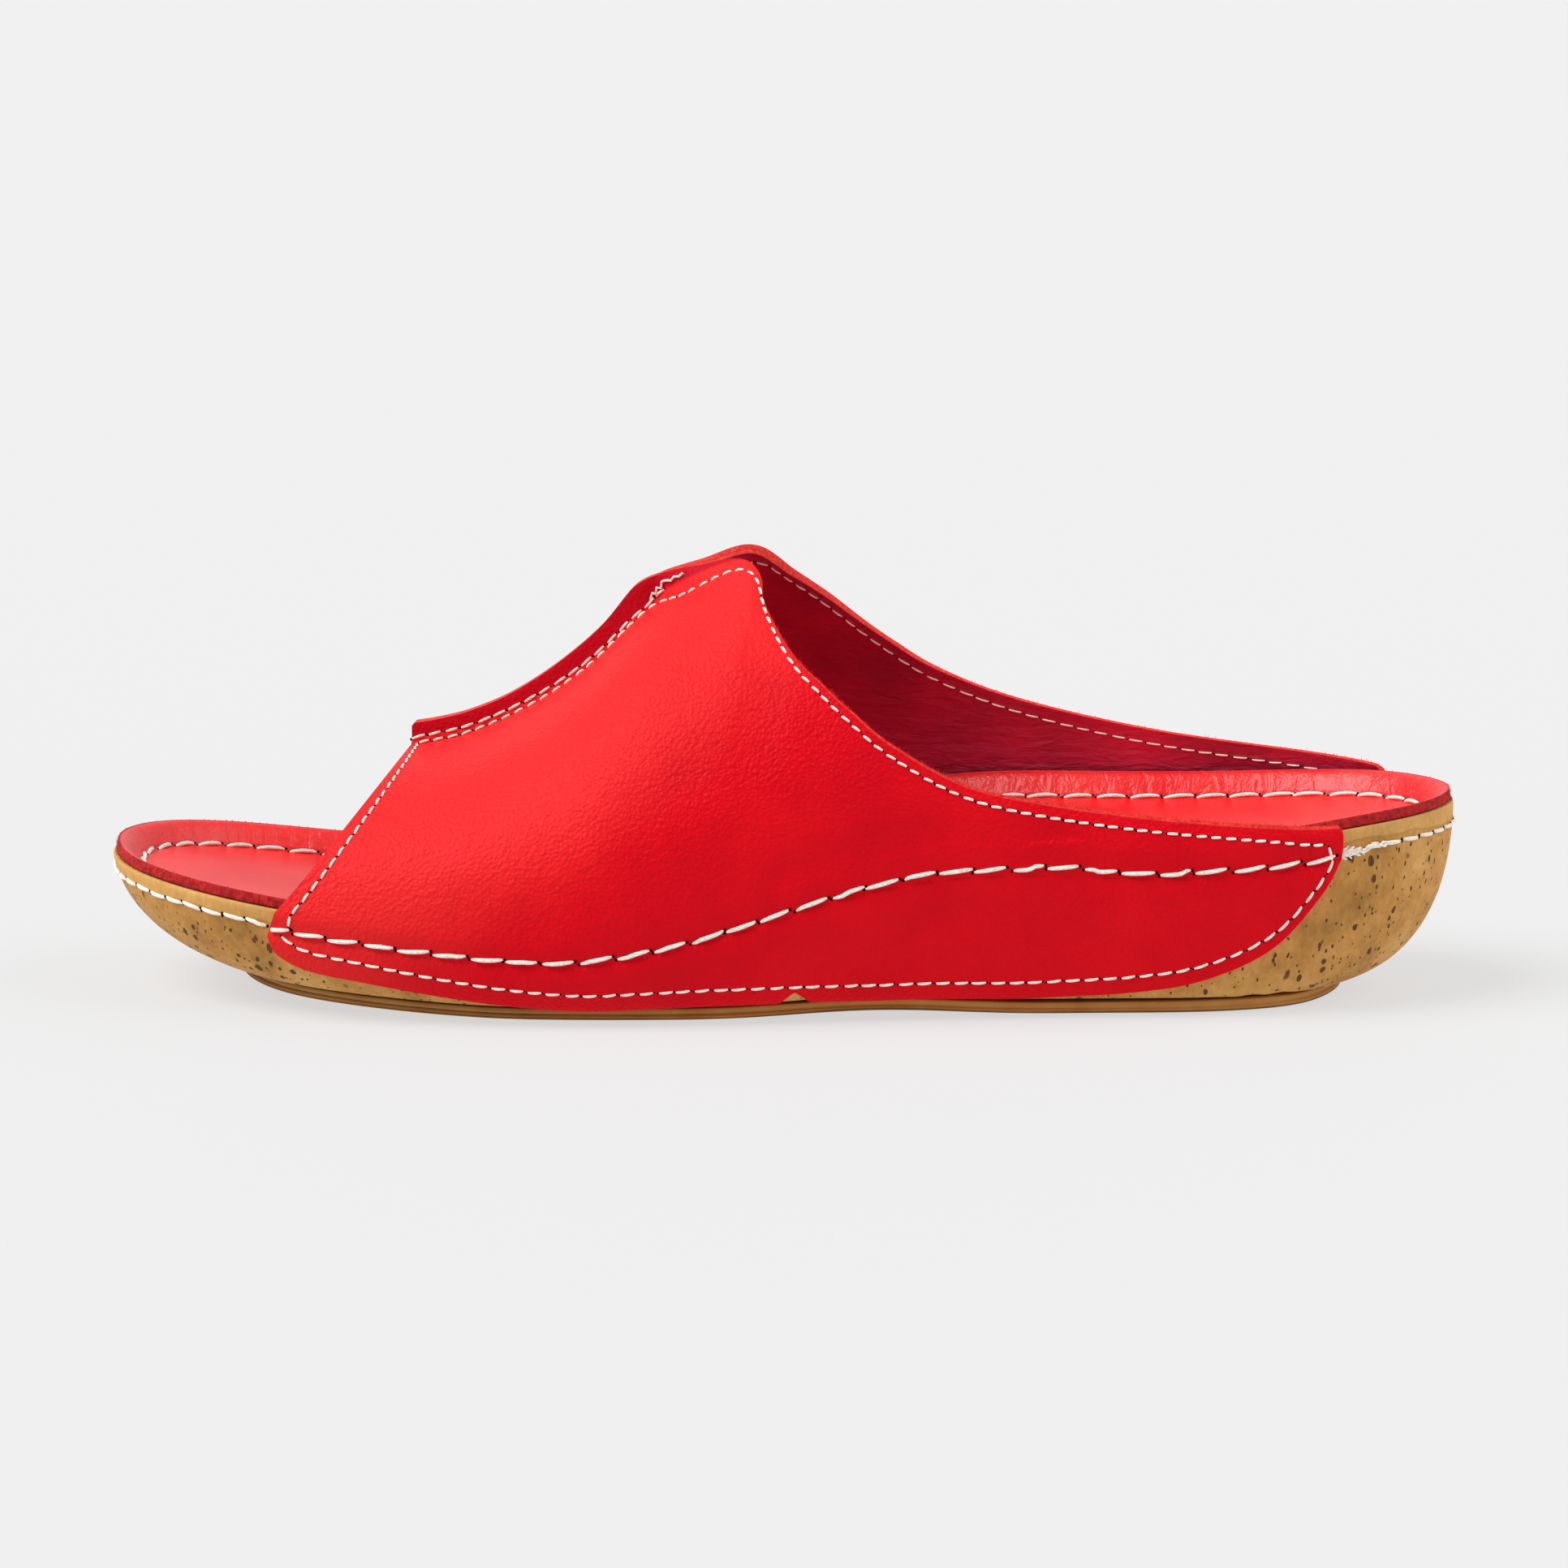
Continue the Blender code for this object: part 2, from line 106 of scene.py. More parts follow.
def add_node(tree, kind, links, **settings):
    """A shader node of this kind with its settings, whose inputs take a socket each or a plain value."""
    node = tree.nodes.new("ShaderNode" + kind)
    for name, value in settings.items():
        setattr(node, name, value)
    for name, value in links.items():
        if isinstance(value, bpy.types.NodeSocket):
            tree.links.new(value, node.inputs[name])
        else:
            node.inputs[name].default_value = value
    return node


def new_material(name):
    """An empty material with its shader."""
    material = bpy.data.materials.new(name)
    material.use_nodes = True
    return material, material.node_tree, material.node_tree.nodes["Principled BSDF"]


# White acrylic sheet, lit from below as well, so that the shadow under the shoe stays light.
paper, tree, shader = new_material("light_table_acrylic")
shader.inputs["Base Color"].default_value = (FLOOR_SHADE, FLOOR_SHADE, FLOOR_SHADE, 1.0)
shader.inputs["Emission Color"].default_value = (1.0, 1.0, 1.0, 1.0)
shader.inputs["Emission Strength"].default_value = FLOOR_GLOW
shader.inputs["Roughness"].default_value = 0.9
shader.inputs["Specular IOR Level"].default_value = 0.1
floor_mesh.materials.append(paper)


# The last: every piece hangs on the rim line, the top outer edge of the moulded sole. The rim is
# one smooth closed curve, here in the shoe's own sizes as the solids have them.
LENGTH = 0.262
BALL_WIDTH, WAIST_WIDTH, HEEL_WIDTH = 0.096, 0.080, 0.068
TOE_RIM, BALL_RIM, HEEL_RIM = 0.0256, 0.0172, 0.0367
INSTEP_HEIGHT = 0.0840
TOE_SWING = 0.0080
CENTRE = Vector((-LENGTH / 2, 0.00195, 0))
TOE_TUCK, SIDE_TUCK, HEEL_TUCK, TUCK_REACH = 0.026, 0.007, 0.022, 0.090
TOE_FULLNESS, HEEL_FULLNESS = 1.8, 2.15
RIM_ROUND = 0.0004
TREAD_THICKNESS = 0.0022
PIECE_GAP, CURVED_GAP = 0.0003, 0.00045
TOE_SPRING, TOE_SPRING_CURVE, TOE_SPRING_END = 0.0066, 1.4, 0.32
HEEL_SPRING, HEEL_SPRING_START = 0.0015, 0.89
WAIST_LIFT, WAIST_START, WAIST_END = 0.0014, 0.46, 0.70
OUTER, INNER = -1, 1
MM = 1000

Section = namedtuple("Section", "along width outer inner end outer_rise inner_rise")
SECTIONS = (
    Section(0.012, BALL_WIDTH, 0.120, 0.230, TOE_RIM, 1.00, 0.95),
    Section(0.042, BALL_WIDTH, 0.260, 0.340, TOE_RIM, 0.88, 0.82),
    Section(0.095, BALL_WIDTH, 0.380, 0.422, TOE_RIM, 0.68, 0.58),
    Section(0.176, BALL_WIDTH, 0.460, 0.468, TOE_RIM, 0.37, 0.27),
    Section(0.275, BALL_WIDTH, 0.506, 0.480, TOE_RIM, 0.08, 0.07),
    Section(0.382, BALL_WIDTH, 0.520, 0.462, HEEL_RIM, 0.02, 0.05),
    Section(0.496, WAIST_WIDTH, 0.590, 0.495, HEEL_RIM, 0.39, 0.45),
    Section(0.611, WAIST_WIDTH, 0.530, 0.440, HEEL_RIM, 0.81, 0.83),
    Section(0.725, HEEL_WIDTH, 0.560, 0.490, HEEL_RIM, 0.85, 0.89),
    Section(0.832, HEEL_WIDTH, 0.530, 0.500, HEEL_RIM, 0.81, 0.89),
    Section(0.920, HEEL_WIDTH, 0.435, 0.430, HEEL_RIM, 0.93, 0.95),
    Section(0.975, HEEL_WIDTH, 0.265, 0.265, HEEL_RIM, 0.985, 0.985),
)
RIM_SPANS = 2 * len(SECTIONS) + 2
RIM_STEPS = 24


def hermite(start, end, leave, arrive, t):
    """The cubic from start to end with the given slopes at its ends, at share t."""
    s = 1 - t
    return start * s * s * (1 + 2 * t) + end * t * t * (3 - 2 * t) + leave * t * s * s - arrive * t * t * s


def rim_height(end, rise):
    return BALL_RIM + (end - BALL_RIM) * rise


outer_knots = [(s.along * LENGTH, -s.outer * s.width, rim_height(s.end, s.outer_rise)) for s in SECTIONS]
inner_knots = [(s.along * LENGTH, s.inner * s.width, rim_height(s.end, s.inner_rise)) for s in SECTIONS]
knots = np.array([(0.0, TOE_SWING, TOE_RIM), *outer_knots, (LENGTH, 0.0, HEEL_RIM), *inner_knots[::-1]])
ones = np.eye(RIM_SPANS)
slopes = np.linalg.solve(
    4 * ones + np.roll(ones, 1, 0) + np.roll(ones, -1, 0),
    3 * (np.roll(knots, -1, 0) - np.roll(knots, 1, 0)))


def rim_at(number):
    """A point of the rim line by its running number, from the toe tip along the outer side."""
    i = math.floor(number) % RIM_SPANS
    j = (i + 1) % RIM_SPANS
    return Vector(hermite(knots[i], knots[j], slopes[i], slopes[j], number - math.floor(number)))


rim_numbers = np.arange(RIM_SPANS * RIM_STEPS + 1) / RIM_STEPS
rim_line = np.array([rim_at(n) for n in rim_numbers])
half = RIM_SPANS * RIM_STEPS // 2


def rim_number(along, side):
    """The rim's running number where it is this far from the toe, on the given side."""
    if side == OUTER:
        return float(np.interp(along, rim_line[:half + 1, 0], rim_numbers[:half + 1]))
    return float(np.interp(along, rim_line[half:, 0][::-1], rim_numbers[half:][::-1]))


def outward(number):
    """The level direction that faces away from the shoe at this place on the rim."""
    run = rim_at(number + 0.02) - rim_at(number - 0.02)
    return Vector((run.y, -run.x, 0)).normalized()


def tread_height(along):
    """Height of the tread's lower face above the floor."""
    share = along / LENGTH
    toe = np.maximum(0, 1 - share / TOE_SPRING_END)
    heel = np.maximum(0, (share - HEEL_SPRING_START) / (1 - HEEL_SPRING_START))
    waist = np.sin(math.pi * np.clip((share - WAIST_START) / (WAIST_END - WAIST_START), 0, 1)) ** 2
    return TOE_SPRING * toe**TOE_SPRING_CURVE + HEEL_SPRING * heel + WAIST_LIFT * waist


def wall_foot(rim):
    """Where the sole's wall that hangs from this rim point ends."""
    from_toe = max(0.0, 1 - rim.x / TUCK_REACH)
    from_heel = max(0.0, 1 - (LENGTH - rim.x) / TUCK_REACH)
    along = rim.x + TOE_TUCK * from_toe**2 - HEEL_TUCK * from_heel**2
    across = rim.y * (1 - 2 * SIDE_TUCK / BALL_WIDTH)
    return Vector((along, across, tread_height(along) + TREAD_THICKNESS + PIECE_GAP))


def wall_fullness(along):
    return TOE_FULLNESS + (HEEL_FULLNESS - TOE_FULLNESS) * along / LENGTH


def wall_point(rim, angle):
    """A point of the sole's wall, from the rim at angle 0 to its foot at a right angle."""
    foot, fullness = wall_foot(rim), wall_fullness(rim.x)
    inward = 1 - math.cos(angle) ** (2 / fullness)
    down = math.sin(angle) ** (2 / fullness)
    return Vector((
        rim.x + (foot.x - rim.x) * inward,
        rim.y + (foot.y - rim.y) * inward,
        rim.z + (foot.z - rim.z) * down,
    ))


def from_rim(points):
    """How far each point lies below the rim line and in from it, in mm."""
    flat = points[:, :2] - np.array(CENTRE)[:2]
    gaps = np.linalg.norm(flat[:, None] - rim_line[None, :-1, :2], axis=2)
    nearest = gaps.argmin(1)
    inset = gaps[np.arange(len(points)), nearest]
    below = rim_line[nearest, 2] - points[:, 2]
    return below * MM, inset * MM


# The tread: a thin dense polyurethane plate moulded under the body, olive brown and matte. Its edge
# shows two fine grooves where the mould's plates met, painted on as shade lines with a painted highlight
# along each lip.
TREAD_BROWN, TREAD_GROOVE_SHADE_AND_BLOTCH, TREAD_PALE_AND_LIP_HIGHLIGHT = "A8803F", "70522A", "C89650"


def linear(code):
    """An sRGB hex colour as a linear one."""
    shares = [int(code[i:i + 2], 16) / 255 for i in (0, 2, 4)]
    return (*(c / 12.92 if c <= 0.04045 else ((c + 0.055) / 1.055) ** 2.4 for c in shares), 1.0)


def set_ramp(node, stops):
    """A colour ramp's stops, as (place, hex colour)."""
    while len(node.color_ramp.elements) < len(stops):
        node.color_ramp.elements.new(0.5)
    for element, (place, code) in zip(node.color_ramp.elements, stops):
        element.position = place
        element.color = linear(code)


def smooth_copy(node, name, levels, crease):
    """A CAD solid's mesh with its quads put back and subdivided, as a new object."""
    mesh = bmesh.new()
    mesh.from_mesh(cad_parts[node].data)
    bmesh.ops.remove_doubles(mesh, verts=mesh.verts, dist=0.000002)
    bmesh.ops.join_triangles(
        mesh, faces=mesh.faces, angle_face_threshold=math.radians(40), angle_shape_threshold=math.radians(70))
    sharp = mesh.edges.layers.float.new("crease_edge")
    for edge in mesh.edges:
        if edge.calc_face_angle(0) > math.radians(50):
            edge[sharp] = crease
    data = bpy.data.meshes.new(name)
    mesh.to_mesh(data)
    mesh.free()
    rough = bpy.data.objects.new(name, data)
    bpy.context.collection.objects.link(rough)
    smoother = rough.modifiers.new("smooth", "SUBSURF")
    smoother.levels = smoother.render_levels = levels
    return settled(rough)


def settled(piece):
    """The piece with its modifiers applied."""
    ready = piece.evaluated_get(bpy.context.evaluated_depsgraph_get())
    data = bpy.data.meshes.new_from_object(
        ready, preserve_all_data_layers=True, depsgraph=bpy.context.evaluated_depsgraph_get())
    piece.modifiers.clear()
    piece.data = data
    data.shade_smooth()
    return piece


def corners(data):
    place = np.zeros(len(data.vertices) * 3)
    data.vertices.foreach_get("co", place)
    return place.reshape(-1, 3)


def store(data, name, values):
    """One number for each vertex, which a material reads by name."""
    data.attributes.new(name, "FLOAT", "POINT").data.foreach_set("value", np.asarray(values, np.float32))


tread = smooth_copy("outsole", "tread", 2, 0.9)
place = corners(tread.data)
height = (place[:, 2] - tread_height(place[:, 0] - CENTRE.x)) / TREAD_THICKNESS
place[:, 2] += np.clip(height, 0, 1) * (PIECE_GAP + 0.00015)
tread.data.vertices.foreach_set("co", place.reshape(-1))
store(tread.data, "layer", (place[:, 2] - tread_height(place[:, 0] - CENTRE.x)) / TREAD_THICKNESS)
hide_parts("outsole")
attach(tread, "root")

# Dense polyurethane with a moulded skin: matte and slightly blotched, with painted shade in its two grooves
# and a painted highlight on the lip above each.
material, tree, shader = new_material("dense_polyurethane")
where = add_node(tree, "TexCoord", {})
layer = add_node(tree, "Attribute", {}, attribute_name="layer")
# Forefoot: a painted shade line in each groove and a painted highlight along the lip above it.
forefoot_groove_shading = add_node(tree, "ValToRGB", {"Fac": layer.outputs["Fac"]})
set_ramp(forefoot_groove_shading, (
    (0.00, TREAD_BROWN), (0.22, TREAD_BROWN), (0.30, TREAD_GROOVE_SHADE_AND_BLOTCH), (0.38, TREAD_PALE_AND_LIP_HIGHLIGHT),
    (0.56, TREAD_BROWN), (0.62, TREAD_GROOVE_SHADE_AND_BLOTCH), (0.70, TREAD_PALE_AND_LIP_HIGHLIGHT), (1.00, TREAD_BROWN)))
# Behind the ball: one painted shade line for the lower groove, and above it the paler brown, which also
# serves as its painted highlight.
heel_groove_shading = add_node(tree, "ValToRGB", {"Fac": layer.outputs["Fac"]})
set_ramp(heel_groove_shading, ((0.00, TREAD_BROWN), (0.26, TREAD_GROOVE_SHADE_AND_BLOTCH), (0.36, TREAD_PALE_AND_LIP_HIGHLIGHT),
    (1.00, TREAD_PALE_AND_LIP_HIGHLIGHT)))
apart = add_node(tree, "SeparateXYZ", {"Vector": where.outputs["Object"]})
behind_ball = add_node(tree, "MapRange", {
    "Value": apart.outputs["X"], "From Min": -0.045, "From Max": 0.000})
groove_shading = add_node(tree, "Mix", {
    "Factor": behind_ball.outputs["Result"], "A": forefoot_groove_shading.outputs["Color"], "B": heel_groove_shading.outputs["Color"]},
    data_type="RGBA")
blotch = add_node(tree, "TexNoise", {
    "Vector": where.outputs["Object"], "Scale": 160.0, "Detail": 4.0, "Roughness": 0.6})
stained = add_node(tree, "Mix", {
    "Factor": blotch.outputs["Fac"], "A": groove_shading.outputs["Result"], "B": linear(TREAD_GROOVE_SHADE_AND_BLOTCH)},
    data_type="RGBA", blend_type="SOFT_LIGHT")
grit = add_node(tree, "TexNoise", {
    "Vector": where.outputs["Object"], "Scale": 1800.0, "Detail": 3.0})
raised = add_node(tree, "Math", {0: forefoot_groove_shading.outputs["Alpha"], 1: grit.outputs["Fac"]}, operation="MULTIPLY")
bump = add_node(tree, "Bump", {"Height": raised.outputs["Value"], "Distance": 0.0001, "Strength": 0.6})
tree.links.new(stained.outputs["Result"], shader.inputs["Base Color"])
tree.links.new(bump.outputs["Normal"], shader.inputs["Normal"])
shader.inputs["Roughness"].default_value = 0.75
tread.data.materials.clear()
tread.data.materials.append(material)

# The cup sole: polyurethane foam with a skin, cast to look like ground cork. Air bubbles in the
# mould left pits, most and largest low on the wall and at the heel; a smooth band runs under the rim.
SOLE_TAN, SOLE_LIGHT, SOLE_DARK, PIT_BROWN = "C48C45", "DDAC64", "9A6C2E", "5E3E16"

cup = smooth_copy("sole", "cup_sole", 2, 0.8)
below, inset = from_rim(corners(cup.data))
store(cup.data, "below", below)
store(cup.data, "inset", inset)
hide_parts("sole")
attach(cup, "root")

# Skinned foam is matte and mottled at two scales; its pits are darker and a little taller than wide.
material, tree, shader = new_material("cork_look_polyurethane")
where = add_node(tree, "TexCoord", {})
depth = add_node(tree, "Attribute", {}, attribute_name="below")
stretched = add_node(tree, "Mapping", {"Vector": where.outputs["Object"], "Scale": (1.0, 1.0, 0.55)})
wander = add_node(tree, "TexNoise", {"Vector": where.outputs["Object"], "Scale": 320.0, "Detail": 3.0})
shifted = add_node(tree, "VectorMath", {
    0: wander.outputs["Color"], 1: (0.0014, 0.0014, 0.0014), 2: stretched.outputs["Vector"]},
    operation="MULTIPLY_ADD")
lower = add_node(tree, "MapRange", {"Value": depth.outputs["Fac"], "From Min": 2.6, "From Max": 5.5})
pits = []
for cells_per_metre, widest in ((230.0, 0.22), (450.0, 0.27), (950.0, 0.27)):
    cells = add_node(tree, "TexVoronoi", {"Vector": shifted.outputs["Vector"], "Scale": cells_per_metre})
    chance = add_node(tree, "SeparateColor", {"Color": cells.outputs["Color"]})
    rare = add_node(tree, "Math", {0: chance.outputs["Red"], 1: 1.05}, operation="POWER")
    reach = add_node(tree, "Math", {0: rare.outputs["Value"], 1: widest}, operation="MULTIPLY")
    room = add_node(tree, "Math", {0: reach.outputs["Value"], 1: lower.outputs["Result"], 2: 0.012},
                    operation="MULTIPLY_ADD")
    ratio = add_node(tree, "Math", {0: cells.outputs["Distance"], 1: room.outputs["Value"]},
        operation="DIVIDE")
    pits.append(add_node(tree, "MapRange", {
        "Value": ratio.outputs["Value"], "From Min": 0.70, "From Max": 1.10, "To Min": 1.0, "To Max": 0.0},
        interpolation_type="SMOOTHSTEP").outputs["Result"])
coarse = add_node(tree, "Math", {0: pits[0], 1: pits[1]}, operation="MAXIMUM")
pitted = add_node(tree, "Math", {0: coarse.outputs["Value"], 1: pits[2]}, operation="MAXIMUM")
mottle = add_node(tree, "TexNoise", {
    "Vector": where.outputs["Object"], "Scale": 70.0, "Detail": 8.0, "Roughness": 0.62})
tan = add_node(tree, "ValToRGB", {"Fac": mottle.outputs["Fac"]})
set_ramp(tan, ((0.28, SOLE_DARK), (0.48, SOLE_TAN), (0.72, SOLE_LIGHT)))
# The band under the rim is paler, partly the smooth skin there and partly a painted highlight on the top of
# the wall; a painted shade line marks the faint wandering lip where it ends.
wave = add_node(tree, "TexNoise", {"Vector": where.outputs["Object"], "Scale": 90.0, "Detail": 3.0})
lip_at = add_node(tree, "Math", {0: wave.outputs["Fac"], 1: 3.2, 2: 1.2}, operation="MULTIPLY_ADD")
from_lip = add_node(tree, "Math", {0: depth.outputs["Fac"], 1: lip_at.outputs["Value"]}, operation="SUBTRACT")
band = add_node(tree, "MapRange", {
    "Value": from_lip.outputs["Value"], "From Min": -0.5, "From Max": 0.3, "To Min": 0.45, "To Max": 0.0})
lip_gap = add_node(tree, "Math", {0: from_lip.outputs["Value"]}, operation="ABSOLUTE")
lip = add_node(tree, "MapRange", {
    "Value": lip_gap.outputs["Value"], "From Min": 0.0, "From Max": 0.35, "To Min": 0.45, "To Max": 0.0})
paler = add_node(tree, "Mix", {
    "Factor": band.outputs["Result"], "A": tan.outputs["Color"], "B": linear(SOLE_LIGHT)}, data_type="RGBA")
# Painted shade: a dark line along the lip.
lip_shaded = add_node(tree, "Mix", {
    "Factor": lip.outputs["Result"], "A": paler.outputs["Result"], "B": linear(SOLE_DARK)}, data_type="RGBA")
grit = add_node(tree, "TexNoise", {
    "Vector": stretched.outputs["Vector"], "Scale": 900.0, "Detail": 4.0, "Roughness": 0.7})
speckled = add_node(tree, "Mix", {
    "Factor": 0.55, "A": lip_shaded.outputs["Result"], "B": grit.outputs["Fac"]}, data_type="RGBA",
    blend_type="SOFT_LIGHT")
coloured = add_node(tree, "Mix", {
    "Factor": pitted.outputs["Value"], "A": speckled.outputs["Result"], "B": linear(PIT_BROWN)},
    data_type="RGBA")
dents = add_node(tree, "TexNoise", {"Vector": stretched.outputs["Vector"], "Scale": 190.0, "Detail": 2.0})
uneven = add_node(tree, "Math", {0: dents.outputs["Fac"], 1: 2.0, 2: grit.outputs["Fac"]},
    operation="MULTIPLY_ADD")
sunk = add_node(tree, "Math", {0: pitted.outputs["Value"], 1: -3.0, 2: uneven.outputs["Value"]},
                operation="MULTIPLY_ADD")
bump = add_node(tree, "Bump", {"Height": sunk.outputs["Value"], "Distance": 0.00025, "Strength": 0.8})
tree.links.new(coloured.outputs["Result"], shader.inputs["Base Color"])
tree.links.new(bump.outputs["Normal"], shader.inputs["Normal"])
shader.inputs["Roughness"].default_value = 0.72
shader.inputs["Specular IOR Level"].default_value = 0.3
cup.data.materials.clear()
cup.data.materials.append(material)


# The insole: one sheet of vegetable-tanned leather, two millimetres thick, pressed into the cup and
# turned up its flank. Its raw edge shows above the sole's rim, dark and fuzzy.
FOOTBED_RED, FOOTBED_WORN, RAW_RED, RAW_LIGHT = "E4101A", "F02A28", "84080E", "DC1E1C"
CREASE_INSET, CREASE_DEPTH = 5.8, 2.3

footbed = smooth_copy("insole", "insole", 2, 0.7)
below, inset = from_rim(corners(footbed.data))
store(footbed.data, "inset", inset)
store(footbed.data, "below", below)
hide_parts("insole")
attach(footbed, "root")

# Aniline-dyed leather, pressed smooth: fine pores, a low sheen, wrinkles where the sheet was
# gathered up the flank, and painted shade along the crease. The raw edge is loose fibre.
material, tree, shader = new_material("vegetable_tanned_leather")
where = add_node(tree, "TexCoord", {})
reach = add_node(tree, "Attribute", {}, attribute_name="inset")
raw = add_node(tree, "MapRange", {
    "Value": reach.outputs["Fac"], "From Min": 1.15, "From Max": 1.6, "To Min": 1.0, "To Max": 0.0})
flank = add_node(tree, "MapRange", {
    "Value": reach.outputs["Fac"], "From Min": 5.6, "From Max": 6.4, "To Min": 1.0, "To Max": 0.0})
fold = add_node(tree, "Math", {0: reach.outputs["Fac"], 1: CREASE_INSET}, operation="SUBTRACT")
fold_gap = add_node(tree, "Math", {0: fold.outputs["Value"]}, operation="ABSOLUTE")
crease = add_node(tree, "MapRange", {
    "Value": fold_gap.outputs["Value"], "From Min": 0.0, "From Max": 0.9, "To Min": 1.0, "To Max": 0.0},
    interpolation_type="SMOOTHSTEP")
cloud = add_node(tree, "TexNoise", {"Vector": where.outputs["Object"], "Scale": 60.0, "Detail": 5.0})
dye = add_node(tree, "ValToRGB", {"Fac": cloud.outputs["Fac"]})
set_ramp(dye, ((0.35, FOOTBED_RED), (0.70, FOOTBED_WORN)))
fibre = add_node(tree, "TexNoise", {
    "Vector": where.outputs["Object"], "Scale": 800.0, "Detail": 5.0, "Roughness": 0.75})
nap = add_node(tree, "ValToRGB", {"Fac": fibre.outputs["Fac"]})
set_ramp(nap, ((0.36, RAW_RED), (0.66, RAW_LIGHT)))
two_reds = add_node(tree, "Mix", {
    "Factor": raw.outputs["Result"], "A": dye.outputs["Color"], "B": nap.outputs["Color"]}, data_type="RGBA")
# Painted shade along the crease where the cord runs through the footbed.
shaded = add_node(tree, "Math", {0: crease.outputs["Result"], 1: 0.55}, operation="MULTIPLY")
crease_shaded = add_node(tree, "Mix", {
    "Factor": shaded.outputs["Value"], "A": two_reds.outputs["Result"], "B": linear(RAW_RED)},
    data_type="RGBA")
long = add_node(tree, "Mapping", {"Vector": where.outputs["Object"], "Scale": (1.0, 0.6, 0.35)})
puckers = add_node(tree, "TexNoise", {
    "Vector": long.outputs["Vector"], "Scale": 330.0, "Detail": 4.0, "Distortion": 1.2})
on_flank = add_node(tree, "Math", {0: puckers.outputs["Fac"], 1: flank.outputs["Result"]},
    operation="MULTIPLY")
pores = add_node(tree, "TexVoronoi", {"Vector": where.outputs["Object"], "Scale": 1700.0})
surface = add_node(tree, "Math", {0: on_flank.outputs["Value"], 1: 11.0, 2: pores.outputs["Distance"]},
                   operation="MULTIPLY_ADD")
sunk = add_node(tree, "Math", {0: crease.outputs["Result"], 1: -6.0, 2: surface.outputs["Value"]},
                operation="MULTIPLY_ADD")
loose = add_node(tree, "Math", {0: fibre.outputs["Fac"], 1: raw.outputs["Result"]}, operation="MULTIPLY")
shape = add_node(tree, "Math", {0: loose.outputs["Value"], 1: 9.0, 2: sunk.outputs["Value"]},
                 operation="MULTIPLY_ADD")
bump = add_node(tree, "Bump", {"Height": shape.outputs["Value"], "Distance": 0.00008, "Strength": 0.7})
shine = add_node(tree, "MapRange", {"Value": raw.outputs["Result"], "To Min": 0.36, "To Max": 1.0})
tree.links.new(crease_shaded.outputs["Result"], shader.inputs["Base Color"])
tree.links.new(bump.outputs["Normal"], shader.inputs["Normal"])
tree.links.new(shine.outputs["Result"], shader.inputs["Roughness"])
footbed.data.materials.clear()
footbed.data.materials.append(material)


# The upper: two side panels of smooth leather, each backed with a thinner lining leather and cut
# through both. They stand outside the sole's wall and meet in a raised seam along the instep.
FLANGE, SEAM_RISE, SEAM_LEAN, SEAM_GAP = 0.0038, 0.0030, 0.0012, 0.00001
VAMP_FULLNESS, PANEL_SWEEP = 2.0, 0.95
LINING_THICKNESS, LEATHER_THICKNESS, GLUE_LINE = 0.00085, 0.00110, 0.00006
LINING_PROUD = 0.9
COLUMN_STEPS, LOW_STEPS, HIGH_STEPS, CLIMB_STEPS = 10, 14, 54, 80
NOTCH_AT, NOTCH_HALF, NOTCH_DEPTH = 0.523, 0.011, 0.085

Fold = namedtuple("Fold", "rim top height reach turn hem lead upright strip")
OUTER_PANEL = (
    Fold(0.1495, 0.229, 0.607, 1.000, 1.00, 0.730, 0.008, 1.00, 0.85),
    Fold(0.1550, 0.250, 0.618, 1.000, 1.00, 0.550, 0.008, 1.00, 0.85),
    Fold(0.1740, 0.273, 0.637, 1.000, 1.00, 0.410, 0.006, 1.00, 0.88),
    Fold(0.2150, 0.303, 0.677, 1.000, 1.00, 0.350, 0.004, 1.00, 0.92),
    Fold(0.2700, 0.337, 0.745, 1.000, 1.00, 0.270, 0.001, 1.00, 1.15),
    Fold(0.3250, 0.370, 0.832, 1.000, 1.00, 0.200, 0.000, 1.00, 1.40),
    Fold(0.3700, 0.397, 0.930, 1.000, 1.00, 0.150, 0.000, 1.00, 1.70),
    Fold(0.4050, 0.418, 0.957, 1.000, 1.00, 0.150, 0.000, 1.00, 1.10),
    Fold(0.4350, 0.448, 0.968, 0.910, 0.95, 0.150, 0.000, 0.70, 0.90),
    Fold(0.4620, 0.483, 0.983, 0.800, 0.85, 0.145, 0.000, 0.35, 0.90),
    Fold(0.4850, 0.495, 0.915, 0.617, 0.75, 0.130, 0.000, 0.10, 0.90),
    Fold(0.5130, 0.522, 0.812, 0.350, 0.62, 0.107, 0.000, 0.00, 0.90),
    Fold(0.5380, 0.545, 0.752, 0.231, 0.52, 0.086, 0.000, 0.00, 0.90),
    Fold(0.5600, 0.566, 0.699, 0.151, 0.46, 0.071, 0.000, 0.00, 0.90),
    Fold(0.5900, 0.593, 0.632, 0.089, 0.42, 0.063, 0.000, 0.00, 0.90),
    Fold(0.6450, 0.645, 0.539, 0.052, 0.36, 0.078, 0.000, 0.00, 0.90),
    Fold(0.7050, 0.704, 0.494, 0.036, 0.35, 0.092, 0.000, 0.00, 0.90),
    Fold(0.7700, 0.769, 0.464, 0.030, 0.35, 0.120, 0.000, 0.00, 0.90),
    Fold(0.8230, 0.822, 0.449, 0.020, 0.35, 0.190, 0.000, 0.00, 0.90),
    Fold(0.8700, 0.869, 0.437, 0.010, 0.35, 0.360, 0.000, 0.00, 0.90),
    Fold(0.8980, 0.898, 0.428, 0.010, 0.35, 0.620, 0.000, 0.00, 0.90),
    Fold(0.9150, 0.915, 0.427, 0.010, 0.35, 0.860, 0.000, 0.00, 0.90),
)
